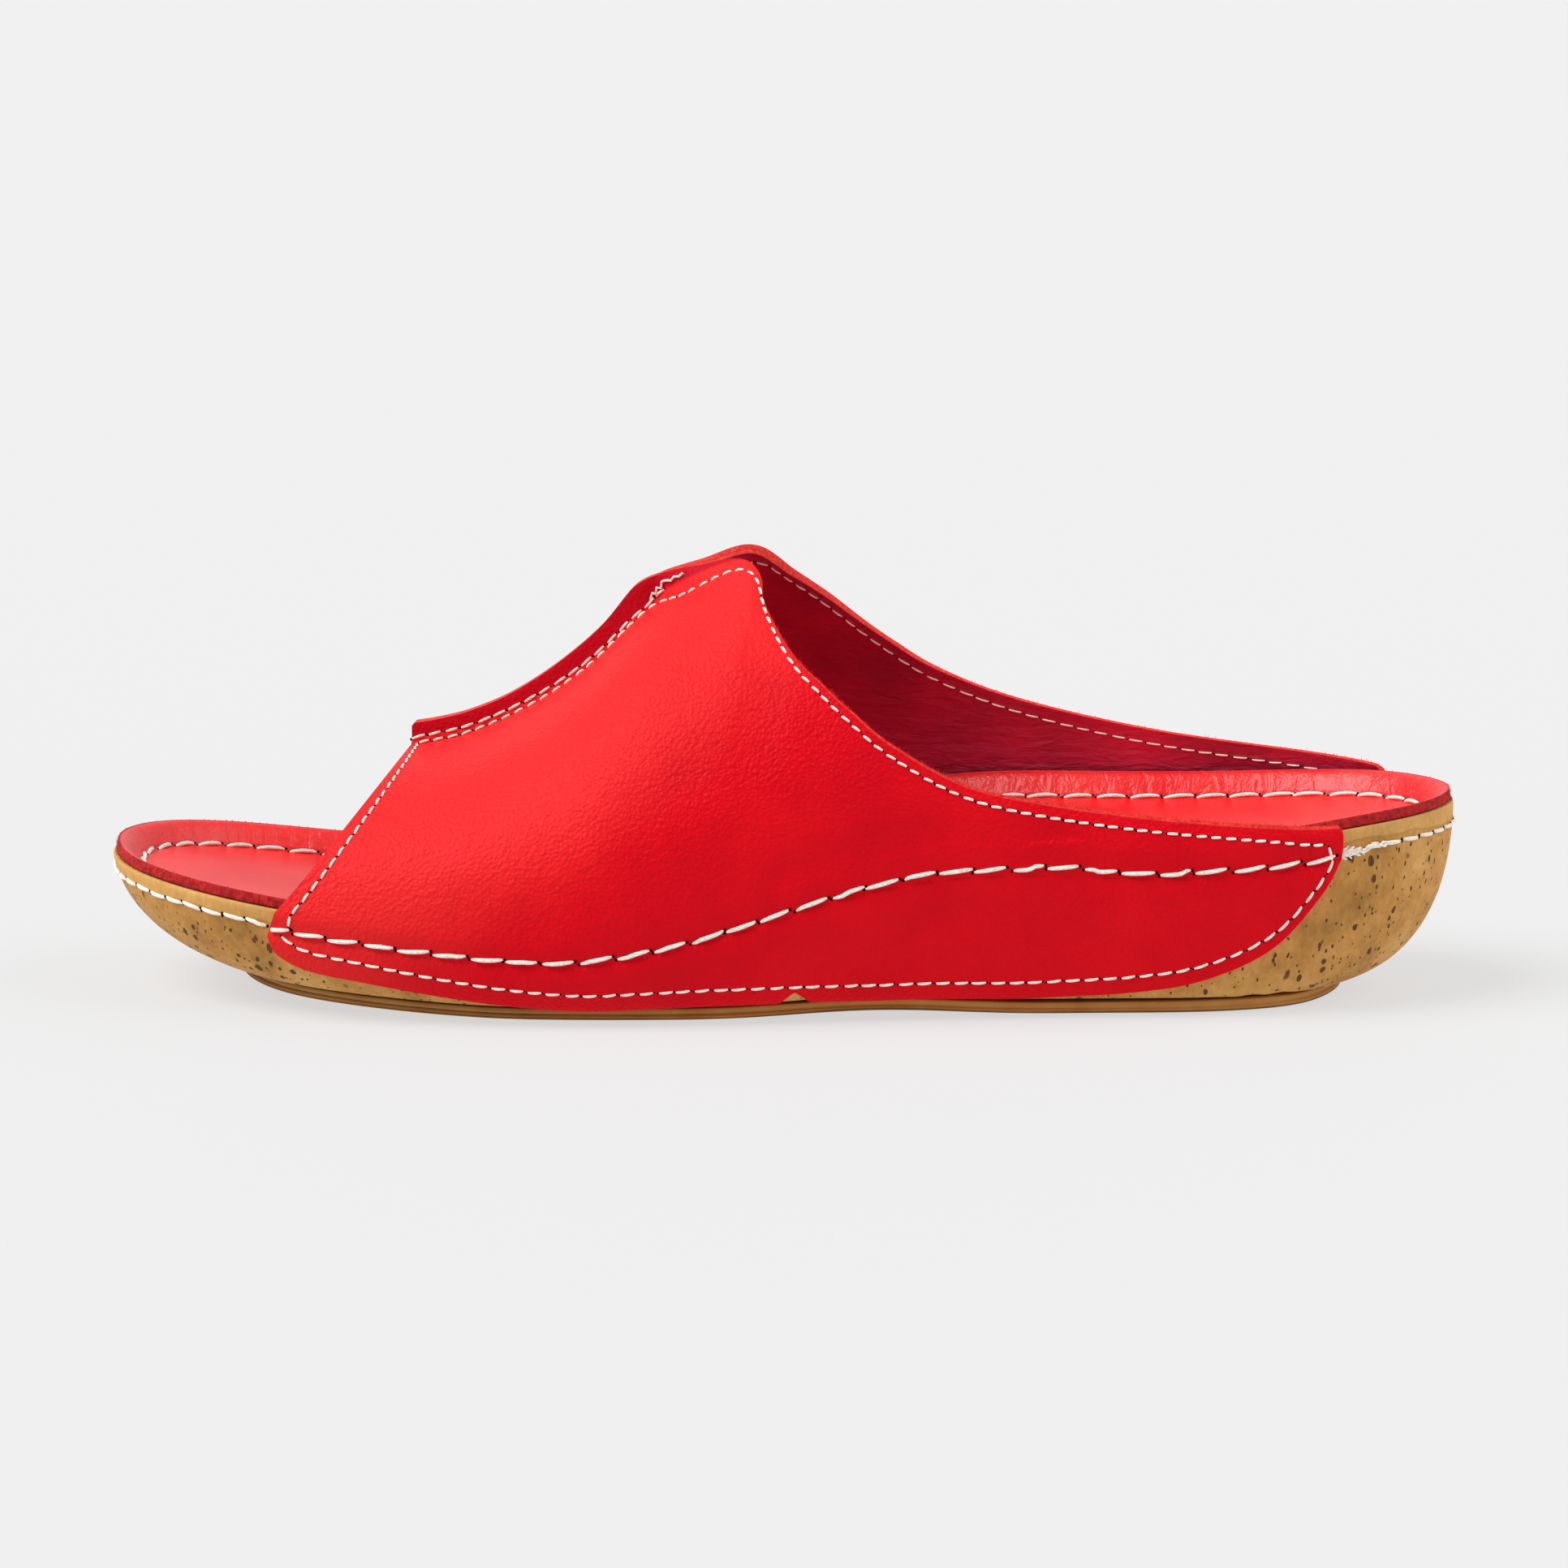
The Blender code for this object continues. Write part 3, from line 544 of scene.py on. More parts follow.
INNER_PANEL = (
    Fold(0.1630, 0.229, 0.607, 1.000, 1.00, 0.730, 0.008, 1.00, 0.85),
    Fold(0.1690, 0.250, 0.618, 1.000, 1.00, 0.550, 0.008, 1.00, 0.85),
    Fold(0.1890, 0.273, 0.637, 1.000, 1.00, 0.410, 0.006, 1.00, 0.88),
    Fold(0.2250, 0.303, 0.677, 1.000, 1.00, 0.350, 0.004, 1.00, 0.92),
    Fold(0.2750, 0.337, 0.745, 1.000, 1.00, 0.270, 0.001, 1.00, 1.15),
    Fold(0.3270, 0.370, 0.832, 1.000, 1.00, 0.200, 0.000, 1.00, 1.40),
    Fold(0.3700, 0.397, 0.930, 1.000, 1.00, 0.150, 0.000, 1.00, 1.70),
    Fold(0.4050, 0.418, 0.957, 1.000, 1.00, 0.150, 0.000, 1.00, 1.10),
    Fold(0.4350, 0.448, 0.968, 0.910, 0.95, 0.150, 0.000, 0.70, 0.90),
    Fold(0.4650, 0.480, 0.988, 0.800, 0.85, 0.145, 0.000, 0.35, 0.90),
    Fold(0.4920, 0.505, 0.932, 0.660, 0.75, 0.130, 0.000, 0.10, 0.90),
    Fold(0.5200, 0.530, 0.871, 0.500, 0.62, 0.107, 0.000, 0.00, 0.90),
    Fold(0.5470, 0.555, 0.803, 0.355, 0.52, 0.086, 0.000, 0.00, 0.90),
    Fold(0.5720, 0.578, 0.747, 0.255, 0.46, 0.071, 0.000, 0.00, 0.90),
    Fold(0.6020, 0.606, 0.690, 0.190, 0.42, 0.063, 0.000, 0.00, 0.90),
    Fold(0.6550, 0.655, 0.624, 0.100, 0.36, 0.078, 0.000, 0.00, 0.90),
    Fold(0.7120, 0.712, 0.574, 0.060, 0.35, 0.092, 0.000, 0.00, 0.90),
    Fold(0.7800, 0.780, 0.528, 0.035, 0.35, 0.120, 0.000, 0.00, 0.90),
    Fold(0.8380, 0.837, 0.501, 0.020, 0.35, 0.190, 0.000, 0.00, 0.90),
    Fold(0.8900, 0.889, 0.483, 0.010, 0.35, 0.360, 0.000, 0.00, 0.90),
    Fold(0.9240, 0.924, 0.470, 0.010, 0.35, 0.620, 0.000, 0.00, 0.90),
    Fold(0.9440, 0.944, 0.461, 0.010, 0.35, 0.860, 0.000, 0.00, 0.90),
)


def smooth_rows(rows, steps):
    """The rows with steps - 1 smooth ones added between each two."""
    marks = np.array(rows, float)
    leaves = np.gradient(marks, axis=0)
    between = [
        hermite(marks[i], marks[i + 1], leaves[i], leaves[i + 1], k / steps)
        for i in range(len(marks) - 1)
        for k in range(steps)
    ]
    return [Fold(*row) for row in [*between, marks[-1]]]


def climb(start, end, turn, share):
    """A point of a panel's section from the rim to its upper edge, as this share of the arc."""
    angle, whole = math.pi / 2 * turn * share, math.pi / 2 * turn
    across = (1 - math.cos(angle) ** (2 / VAMP_FULLNESS)) / (1 - math.cos(whole) ** (2 / VAMP_FULLNESS))
    rise = math.sin(angle) ** (2 / VAMP_FULLNESS) / math.sin(whole) ** (2 / VAMP_FULLNESS)
    return Vector((
        start.x + (end.x - start.x) * rise**PANEL_SWEEP,
        start.y + (end.y - start.y) * across,
        start.z + (end.z - start.z) * rise,
    ))


def even_steps(points, count):
    """The same line with count + 1 points at even distances, its corners eased."""
    line = np.array(points)
    for _ in range(3):
        line[1:-1] = line[1:-1] / 2 + (line[:-2] + line[2:]) / 4
    gone = np.concatenate([[0], np.cumsum(np.linalg.norm(np.diff(line, axis=0), axis=1))])
    marks = np.linspace(0, gone[-1], count + 1)
    return np.stack([np.interp(marks, gone, line[:, k]) for k in range(3)], 1)


def fold_line(fold, side):
    """The lining's face of a panel along one fold line, from the hem to the upper edge."""
    notch = NOTCH_DEPTH * max(0, 1 - abs(fold.rim - NOTCH_AT) / NOTCH_HALF) if side == OUTER else 0
    low = []
    for k in range(LOW_STEPS):
        depth = 1 - k / LOW_STEPS
        number = rim_number((fold.rim - fold.lead * depth) * LENGTH, side)
        edge = rim_at(number) - UP * RIM_ROUND
        angle = math.asin((1 - fold.hem - notch) ** (wall_fullness(edge.x) / 2)) * depth
        clear = outward(number) * math.cos(angle) - UP * math.sin(angle)
        low.append(wall_point(edge, angle) + clear * CURVED_GAP)
    number = rim_number(fold.rim * LENGTH, side)
    start = rim_at(number) - UP * RIM_ROUND + outward(number) * CURVED_GAP
    end = Vector((fold.top * LENGTH, rim_at(number).y * (1 - fold.reach) + side * SEAM_GAP,
        fold.height * INSTEP_HEIGHT))
    join = end - UP * FLANGE * fold.strip
    bend = join - UP * SEAM_RISE + Vector((0, side * SEAM_LEAN, 0))
    high = []
    for k in range(CLIMB_STEPS + 1):
        share = k / CLIMB_STEPS
        if share < 6 / 8:
            standing = climb(start, bend, fold.turn, share * 8 / 6)
        elif share < 7 / 8:
            standing = bend.lerp(join, share * 8 - 6)
        else:
            standing = join.lerp(end, share * 8 - 7)
        high.append(climb(start, end, fold.turn, share).lerp(standing, fold.upright))
    return np.concatenate([low, even_steps(high, HIGH_STEPS)]) + np.array(CENTRE)


def measured(grid):
    """Distances in mm over a panel: from its hem, top, front and rear, and up from the rim."""
    up = np.pad(np.cumsum(np.linalg.norm(np.diff(grid, axis=1), axis=2), axis=1), ((0, 0), (1, 0)))
    along = np.pad(np.cumsum(np.linalg.norm(np.diff(grid, axis=0), axis=2), axis=0), ((1, 0), (0, 0)))
    above_rim = up - up[:, LOW_STEPS:LOW_STEPS + 1]
    return [d * MM for d in (up, up[:, -1:] - up, along, along[-1:] - along, above_rim)]


def trimmed(grid, cuts):
    """The panel's grid with this many mm cut from the upper end of each column."""
    shorter = grid.copy()
    for column, cut in zip(shorter, cuts):
        part = column[LOW_STEPS:].copy()
        gone = np.concatenate([[0], np.cumsum(np.linalg.norm(np.diff(part, axis=0), axis=1))])
        marks = gone * max(0.35, 1 - cut / MM / gone[-1])
        column[LOW_STEPS:] = np.stack([np.interp(marks, gone, part[:, k]) for k in range(3)], 1)
    return shorter


def corner_cuts(grid, front_radius, rear_radius):
    """What each column loses at the top so that the panel's upper corners are round, in mm."""
    _, _, from_front, from_rear, _ = (d[:, -1] for d in measured(grid))
    cuts = np.zeros(len(grid))
    for gap, radius in ((from_front, front_radius), (from_rear, rear_radius)):
        near = gap < radius
        cuts[near] += radius - np.sqrt(radius**2 - (radius - gap[near]) ** 2)
    return cuts


def facing(grid, side):
    """The direction out of the panel at each point of its grid."""
    normals = np.cross(np.gradient(grid, axis=0), np.gradient(grid, axis=1))
    normals /= np.linalg.norm(normals, axis=2, keepdims=True)
    return normals * np.sign(normals[:, LOW_STEPS:LOW_STEPS + 1, 1:2]) * side


# How far the cord runs below the rim, in mm, at these shares of the length: nearest it at the toe.
CORD_AT = (0.0, 0.03, 0.09, 0.16, 0.25, 0.45)
CORD_DEPTHS = (2.7, 2.8, 3.1, 3.3, 3.6, 4.3)


def cord_depth(along):
    return np.interp(along / LENGTH, CORD_AT, CORD_DEPTHS)


# Creases of the near panel, listed: from and to, as mm along from its front edge and mm up from
# the rim, the half width in mm, and the depth in mm; a ridge has a negative depth.
Crease = namedtuple("Crease", "from_along from_up to_along to_up half_width depth")
CREASES = (
    Crease(66, 52, 76, 44, 1.6, 0.35),
    Crease(70, 56, 82, 50, 1.4, 0.25),
    Crease(10, 26, 44, 31, 5.0, 0.35),
    Crease(30, 14, 90, 22, 7.0, -0.40),
    Crease(95, 4, 140, 2, 4.0, 0.30),
    Crease(150, -12, 163, -20, 3.0, 0.30),
    Crease(120, -16, 138, -11, 5.0, 0.30),
    Crease(60, -1, 95, -2, 2.5, 0.30),
)


def relief(grid, side):
    """The cord's trough and the creases, as metres out from the panel at each point of its grid."""
    _, _, from_front, _, up = measured(grid)
    cord = up + cord_depth(grid[:, :, 0] - CENTRE.x)
    lift = 0.00012 * np.exp(-((np.abs(cord) - 3.6) / 1.8) ** 2) - 0.00040 * np.exp(-(cord / 1.3) ** 2)
    if side == OUTER:
        for c in CREASES:
            run = np.array((c.to_along - c.from_along, c.to_up - c.from_up))
            over, rise = from_front - c.from_along, up - c.from_up
            share = np.clip((over * run[0] + rise * run[1]) / (run @ run), 0, 1)
            gap = np.hypot(over - share * run[0], rise - share * run[1])
            lift = lift - c.depth / MM * np.exp(-(gap / c.half_width) ** 2)
    return lift


def panel_sheet(name, points, side, rows):
    """A panel's grid as an open mesh that knows how far each point is from the sewn rows."""
    columns, steps = points.shape[:2]
    sheet = bmesh.new()
    bmesh.ops.create_grid(sheet, x_segments=columns - 1, y_segments=steps - 1, size=1)
    sheet.verts.ensure_lookup_table()
    for vertex, point in zip(sheet.verts, points.transpose(1, 0, 2).reshape(-1, 3)):
        vertex.co = point
    if side == INNER:
        bmesh.ops.reverse_faces(sheet, faces=sheet.faces)
    sewn_points = [place for row in rows for place, _ in row]
    nearest = KDTree(len(sewn_points))
    for i, place in enumerate(sewn_points):
        nearest.insert(place, i)
    nearest.balance()
    gaps = [nearest.find(vertex.co)[2] * MM for vertex in sheet.verts]
    data = bpy.data.meshes.new(name)
    sheet.to_mesh(data)
    sheet.free()
    store(data, "row", gaps)
    piece = bpy.data.objects.new(name, data)
    bpy.context.collection.objects.link(piece)
    return piece


def thickened(piece, thickness, rounding, inner_slot, rim_slot):
    """The sheet as a solid of even thickness with slightly rounded cut edges, and the materials of
    its side towards the foot and of its edge."""
    wall = piece.modifiers.new("wall", "SOLIDIFY")
    wall.thickness = thickness
    wall.offset = 1
    wall.use_even_offset = True
    wall.material_offset = inner_slot
    wall.material_offset_rim = rim_slot
    soft = piece.modifiers.new("soft_edge", "BEVEL")
    soft.width = rounding
    soft.segments = 2
    soft.limit_method = "ANGLE"
    soft.angle_limit = math.radians(60)
    return settled(piece)


# Full-grain calf leather, dyed red and lightly glazed: pores and fine creases under half a
# millimetre, a soft satin shine, painted shade in the dips at the sewn rows and on the seam's standing strip,
# and a painted highlight over the instep and toe.
LEATHER_RED, LEATHER_LIGHT, LEATHER_DEEP, PAINTED_HIGHLIGHT_RED, FLANGE_SHADE_RED = \
    "DC0418", "E60A1A", "D20318", "F0302E", "C20820"
calf, tree, shader = new_material("full_grain_calf_leather")
where = add_node(tree, "TexCoord", {})
row = add_node(tree, "Attribute", {}, attribute_name="row")
cord = add_node(tree, "Attribute", {}, attribute_name="cord")
cloud = add_node(tree, "TexNoise", {
    "Vector": where.outputs["Object"], "Scale": 42.0, "Detail": 6.0, "Roughness": 0.6})
dye = add_node(tree, "ValToRGB", {"Fac": cloud.outputs["Fac"]})
set_ramp(dye, ((0.30, LEATHER_DEEP), (0.48, LEATHER_RED), (0.72, LEATHER_LIGHT)))
row_dip = add_node(tree, "MapRange", {
    "Value": row.outputs["Fac"], "From Min": 0.1, "From Max": 1.1, "To Min": 1.0, "To Max": 0.0},
    interpolation_type="SMOOTHSTEP")
cord_dip = add_node(tree, "MapRange", {
    "Value": cord.outputs["Fac"], "From Min": 0.2, "From Max": 1.6, "To Min": 1.0, "To Max": 0.0},
    interpolation_type="SMOOTHSTEP")
dips = add_node(tree, "Math", {0: row_dip.outputs["Result"], 1: cord_dip.outputs["Result"]},
    operation="MAXIMUM")
# A painted highlight: the colour is paler over the upper slope toward the instep and the toe, where the light
# falls most.
apart = add_node(tree, "SeparateXYZ", {"Vector": where.outputs["Object"]})
lit_slope = add_node(tree, "Math", {0: apart.outputs["X"], 1: -0.8, 2: apart.outputs["Z"]},
                   operation="MULTIPLY_ADD")
patchy = add_node(tree, "Math", {0: cloud.outputs["Fac"], 1: 0.016, 2: lit_slope.outputs["Value"]},
                  operation="MULTIPLY_ADD")
painted_highlight = add_node(tree, "MapRange", {
    "Value": patchy.outputs["Value"], "From Min": 0.056, "From Max": 0.088, "To Min": 0.0, "To Max": 0.6},
    interpolation_type="SMOOTHSTEP")
whole = add_node(tree, "Mix", {
    "Factor": painted_highlight.outputs["Result"], "A": dye.outputs["Color"], "B": linear(PAINTED_HIGHLIGHT_RED)}, data_type="RGBA")
# Painted shade on the seam's standing strip above the join; the mix after this carries both the painted
# highlight and this shade.
below_join = add_node(tree, "Attribute", {}, attribute_name="below_join")
standing = add_node(tree, "MapRange", {
    "Value": below_join.outputs["Fac"], "From Min": -0.6, "From Max": 0.4, "To Min": 1.0, "To Max": 0.0})
stretched = add_node(tree, "Mix", {
    "Factor": standing.outputs["Result"], "A": whole.outputs["Result"], "B": linear(FLANGE_SHADE_RED)},
    data_type="RGBA")
# Painted shade in the dips along the sewn rows and the cord.
dark = add_node(tree, "Math", {0: dips.outputs["Value"], 1: 0.35}, operation="MULTIPLY")
dip_shaded = add_node(tree, "Mix", {
    "Factor": dark.outputs["Value"], "A": stretched.outputs["Result"], "B": linear(LEATHER_DEEP)},
    data_type="RGBA")
pores = add_node(tree, "TexVoronoi", {"Vector": where.outputs["Object"], "Scale": 1300.0})
grain = add_node(tree, "TexNoise", {
    "Vector": where.outputs["Object"], "Scale": 950.0, "Detail": 3.0, "Roughness": 0.6})
skin = add_node(tree, "Math", {0: grain.outputs["Fac"], 1: 1.8, 2: pores.outputs["Distance"]},
                operation="MULTIPLY_ADD")
drape = add_node(tree, "TexNoise", {"Vector": where.outputs["Object"], "Scale": 90.0, "Detail": 3.0})
skin_drape = add_node(tree, "Math", {0: drape.outputs["Fac"], 1: 2.0, 2: skin.outputs["Value"]},
                      operation="MULTIPLY_ADD")
sunk = add_node(tree, "Math", {0: dips.outputs["Value"], 1: -2.5, 2: skin_drape.outputs["Value"]},
                operation="MULTIPLY_ADD")
bump = add_node(tree, "Bump", {"Height": sunk.outputs["Value"], "Distance": 0.00024, "Strength": 0.7})
tree.links.new(dip_shaded.outputs["Result"], shader.inputs["Base Color"])
tree.links.new(bump.outputs["Normal"], shader.inputs["Normal"])
shader.inputs["Roughness"].default_value = 0.42
shader.inputs["Specular IOR Level"].default_value = 0.07

# Raw cut leather: the dye has struck right through, and the fibres stand out a little, lighter.
CUT_RED, CUT_LIGHT = "D81614", "F84C3C"
cut_edge, tree, shader = new_material("raw_cut_leather")
where = add_node(tree, "TexCoord", {})
fibre = add_node(tree, "TexNoise", {
    "Vector": where.outputs["Object"], "Scale": 1500.0, "Detail": 5.0, "Roughness": 0.7})
nap = add_node(tree, "ValToRGB", {"Fac": fibre.outputs["Fac"]})
set_ramp(nap, ((0.38, CUT_RED), (0.66, CUT_LIGHT)))
bump = add_node(tree, "Bump", {"Height": fibre.outputs["Fac"], "Distance": 0.0004, "Strength": 0.7})
tree.links.new(nap.outputs["Color"], shader.inputs["Base Color"])
tree.links.new(bump.outputs["Normal"], shader.inputs["Normal"])
shader.inputs["Roughness"].default_value = 0.85

# Lining leather, thinner and plainer than the outside: a deeper red, with long soft creases.
LINING_RED, LINING_DEEP = "CC1C46", "A8123A"
lining_leather, tree, shader = new_material("lining_leather")
where = add_node(tree, "TexCoord", {})
cloud = add_node(tree, "TexNoise", {"Vector": where.outputs["Object"], "Scale": 50.0, "Detail": 5.0})
dye = add_node(tree, "ValToRGB", {"Fac": cloud.outputs["Fac"]})
set_ramp(dye, ((0.35, LINING_DEEP), (0.65, LINING_RED)))
level_lines = add_node(tree, "Mapping", {"Vector": where.outputs["Object"], "Scale": (0.35, 1.0, 1.3)})
wrinkles = add_node(tree, "TexNoise", {
    "Vector": level_lines.outputs["Vector"], "Scale": 420.0, "Detail": 5.0, "Distortion": 0.8})
bump = add_node(tree, "Bump", {"Height": wrinkles.outputs["Fac"], "Distance": 0.0008, "Strength": 0.8})
tree.links.new(dye.outputs["Color"], shader.inputs["Base Color"])
tree.links.new(bump.outputs["Normal"], shader.inputs["Normal"])
shader.inputs["Roughness"].default_value = 0.5

# Where the fine thread runs, in mm: in from the collar, the rear, the hem at toe, middle and heel,
# the front at its foot and its top, and below the seam's standing edge, above and below its base.
COLLAR_INSET, FAR_COLLAR_INSET, REAR_INSET = 2.0, 2.7, 3.0
HEM_AT, HEM_INSETS = (0.0, 0.25, 1.0), (4.3, 3.6, 3.1)
FRONT_LOW_INSET, FRONT_HIGH_INSET = 3.4, 1.6
JOIN_BELOW = -0.25
SPACING_AT, SEAM_SPACINGS = (0.0, 3.0, 5.0, 6.3, 7.4), (1.75, 2.2, 3.2, 4.6, 4.2)
SEAM_ENDS, SEAM_FADES = 7.4, 9.2


def join_depths(folds):
    """How far below the panel's upper edge the instep seam runs at each column, in mm."""
    return np.array([FLANGE * MM * fold.strip + JOIN_BELOW for fold in smooth_rows(folds, COLUMN_STEPS)])


def steadied(row):
    """A row with the small jumps between its places taken out, as the machine would sew it."""
    places = np.array([place for place, _ in row])
    for _ in range(10):
        places[1:-1] = places[1:-1] / 2 + (places[:-2] + places[2:]) / 4
    return [(Vector(place), normal) for place, (_, normal) in zip(places, row)]


def panel_rows(grid, shell, normals, folds, collar_inset):
    """The sewn rows of a panel, each a list of places and normals: the collar with the seam's lower
    row, the rear, the hem, the front, and the seam's upper row."""
    from_hem, from_top, from_front, from_rear, _ = measured(grid)
    columns, steps = grid.shape[:2]
    numbers = np.arange(columns) / COLUMN_STEPS
    join = join_depths(folds)
    apart = np.interp(numbers, SPACING_AT, SEAM_SPACINGS)
    seam_share = np.interp(numbers, (0, SEAM_ENDS, SEAM_FADES), (1, 1, 0))
    top_inset = seam_share * (join + apart - collar_inset) + collar_inset
    hem_inset = np.interp(numbers / numbers[-1], HEM_AT, HEM_INSETS)

    def on_line(gaps, places, directions, wanted):
        order = np.argsort(gaps)
        place = [np.interp(wanted, gaps[order], places[order, k]) for k in range(3)]
        normal = [np.interp(wanted, gaps[order], directions[order, k]) for k in range(3)]
        return Vector(place), Vector(normal).normalized()

    along_top = [
        c for c in range(columns)
        if from_front[c, -1] > FRONT_HIGH_INSET and from_rear[c, -1] > REAR_INSET
    ]
    notched = [abs(fold.rim - NOTCH_AT) < 1.2 * NOTCH_HALF for fold in smooth_rows(folds, COLUMN_STEPS)]
    along_hem = [
        c for c in range(columns)
        if from_front[c, 2] > FRONT_LOW_INSET and from_rear[c, 2] > REAR_INSET and not notched[c]
    ]
    first, last = along_top[0], along_top[-1]
    up_front = [
        r for r in range(steps)
        if from_top[first, r] > top_inset[first] and from_hem[first, r] > hem_inset[0]
    ]
    up_rear = [
        r for r in range(steps)
        if from_top[last, r] > top_inset[last] and from_hem[last, r] > hem_inset[-1]
    ]
    front_inset = np.interp(np.arange(steps), (up_front[0], up_front[-1]),
        (FRONT_LOW_INSET, FRONT_HIGH_INSET))
    return (
        steadied([on_line(from_top[c], shell[c], normals[c], top_inset[c]) for c in along_top]),
        [on_line(from_rear[:, r], shell[:, r], normals[:, r], REAR_INSET) for r in reversed(up_rear)],
        [on_line(from_hem[c], shell[c], normals[c], hem_inset[c]) for c in reversed(along_hem)],
        [on_line(from_front[:, r], shell[:, r], normals[:, r], front_inset[r]) for r in up_front],
        steadied([
            on_line(from_top[c], shell[c], normals[c], join[c])
            for c in range(int(SEAM_ENDS * COLUMN_STEPS))
        ]),
    )


leathers, rows_outside, rows_inside, collar_edges = {}, {}, {}, {}
for side, label, folds, rear_radius, collar_inset in (
        (OUTER, "near", OUTER_PANEL, 0.7, COLLAR_INSET), (INNER, "far", INNER_PANEL, 1.6, FAR_COLLAR_INSET)):
    grid = np.array([fold_line(fold, side) for fold in smooth_rows(folds, COLUMN_STEPS)])
    cuts = corner_cuts(grid, 0.5, rear_radius)
    proud = LINING_PROUD * np.clip(np.arange(len(grid)) / COLUMN_STEPS - SEAM_FADES, 0, 1)
    inner_grid, outer_grid = trimmed(grid, cuts), trimmed(grid, cuts + proud)
    inner_normals, outer_normals = facing(inner_grid, side), facing(outer_grid, side)
    inner_sheet = inner_grid + inner_normals * relief(inner_grid, side)[:, :, None]
    outer_lift = relief(outer_grid, side) + LINING_THICKNESS + GLUE_LINE
    outer_sheet = outer_grid + outer_normals * outer_lift[:, :, None]
    shell = outer_sheet + outer_normals * LEATHER_THICKNESS
    rows_outside[side] = panel_rows(outer_grid, shell, outer_normals, folds, collar_inset)
    rows_inside[side] = panel_rows(outer_grid, inner_sheet, -inner_normals, folds, collar_inset)
    collar_edges[side] = [
        (Vector(place), Vector(normal)) for place, normal in zip(inner_sheet[:, -1], inner_normals[:, -1])
    ][int(SEAM_FADES * COLUMN_STEPS):]

    lining = panel_sheet(label + "_lining", inner_sheet, side, rows_inside[side])
    lining.data.materials.append(cut_edge)
    lining.data.materials.append(lining_leather)
    thickened(lining, LINING_THICKNESS, 0.00012, 1, 0)
    leather = panel_sheet(label + "_leather", outer_sheet, side, rows_outside[side])
    up = measured(outer_grid)[-1] + cord_depth(outer_grid[:, :, 0] - CENTRE.x)
    store(leather.data, "cord", np.abs(up).T.reshape(-1))
    numbers = np.arange(len(grid)) / COLUMN_STEPS
    seam_depth = np.interp(numbers, (SEAM_ENDS, SEAM_FADES), (1, 0)) * join_depths(folds)
    store(leather.data, "below_join", (measured(outer_grid)[1] - seam_depth[:, None]).T.reshape(-1))
    leather.data.materials.append(calf)
    leather.data.materials.append(cut_edge)
    leathers[side] = thickened(leather, LEATHER_THICKNESS, 0.00025, 0, 1)
    for piece in (lining, leather):
        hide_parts("upper")
        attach(piece, "root")


# The thread: waxed cream polyester. A thick cord is laced through the upper, the sole's wall and the
# insole all round; a fine thread runs round both panels and twice along the instep seam.
CORD_THICK, FINE_THICK = 0.00084, 0.00054
CORD_ON_LEATHER, CORD_ON_SOLE, CORD_INSIDE = 0.0071, 0.0050, 0.0066
LEATHER_SEEN, SOLE_SEEN, FINE_SEEN, COLLAR_SEEN = 0.90, 0.95, 0.78, 0.70
LEATHER_LEAN, SOLE_LEAN, FINE_LEAN = 0.0006, -0.0003, 0.0002
COLLAR_PITCH, REAR_PITCH, HEM_PITCH, FRONT_PITCH, SEAM_PITCH = 0.0028, 0.0032, 0.0035, 0.0029, 0.0033
THREAD_CREAM, THREAD_SHADE, HOLE_SHADE = "FFF8EE", "EAD6BE", "240404"

thread, tree, shader = new_material("waxed_polyester_thread")
where = add_node(tree, "TexCoord", {})
twist = add_node(tree, "TexNoise", {
    "Vector": where.outputs["Object"], "Scale": 1900.0, "Detail": 3.0, "Roughness": 0.6})
cream = add_node(tree, "ValToRGB", {"Fac": twist.outputs["Fac"]})
set_ramp(cream, ((0.32, THREAD_SHADE), (0.55, THREAD_CREAM)))
bump = add_node(tree, "Bump", {"Height": twist.outputs["Fac"], "Distance": 0.00015, "Strength": 0.5})
tree.links.new(cream.outputs["Color"], shader.inputs["Base Color"])
tree.links.new(bump.outputs["Normal"], shader.inputs["Normal"])
shader.inputs["Roughness"].default_value = 0.6

# Stitch holes: dark blobs of painted shade where the thread goes into the leather.
hole_shade, tree, shader = new_material("painted_hole_shade")
shader.inputs["Base Color"].default_value = linear(HOLE_SHADE)
shader.inputs["Roughness"].default_value = 0.95
shader.inputs["Specular IOR Level"].default_value = 0.05


def tree_of(*pieces):
    """Search trees of finished pieces, to lay thread on them."""
    ready = bpy.context.evaluated_depsgraph_get()
    return [BVHTree.FromObject(piece, ready) for piece in pieces]


def laid(points, directions, trees, reach):
    """Each point moved against its direction onto the first surface there, with that surface's normal."""
    rested = []
    for point, direction in zip(points, directions):
        point, direction = Vector(point), Vector(direction).normalized()
        hits = [t.ray_cast(point + direction * reach, -direction, 2 * reach) for t in trees]
        hits = [hit for hit in hits if hit[0] is not None]
        if hits:
            place, normal, _, _ = min(hits, key=lambda hit: hit[3])
            rested.append((place, normal if normal.dot(direction) > 0 else -normal))
    return rested


def add_stitch(spline, places, thick):
    """One stitch on a spline: from hole to hole, fullest and highest in the middle."""
    spline.points.add(len(places) - 1)
    for k, (place, normal) in enumerate(places):
        swell = math.sin(math.pi * k / (len(places) - 1))
        spline.points[k].co = (*(place + normal * thick * (0.62 * swell**0.5 - 0.30)), 1.0)
        spline.points[k].radius = 0.62 + 0.38 * swell**0.6


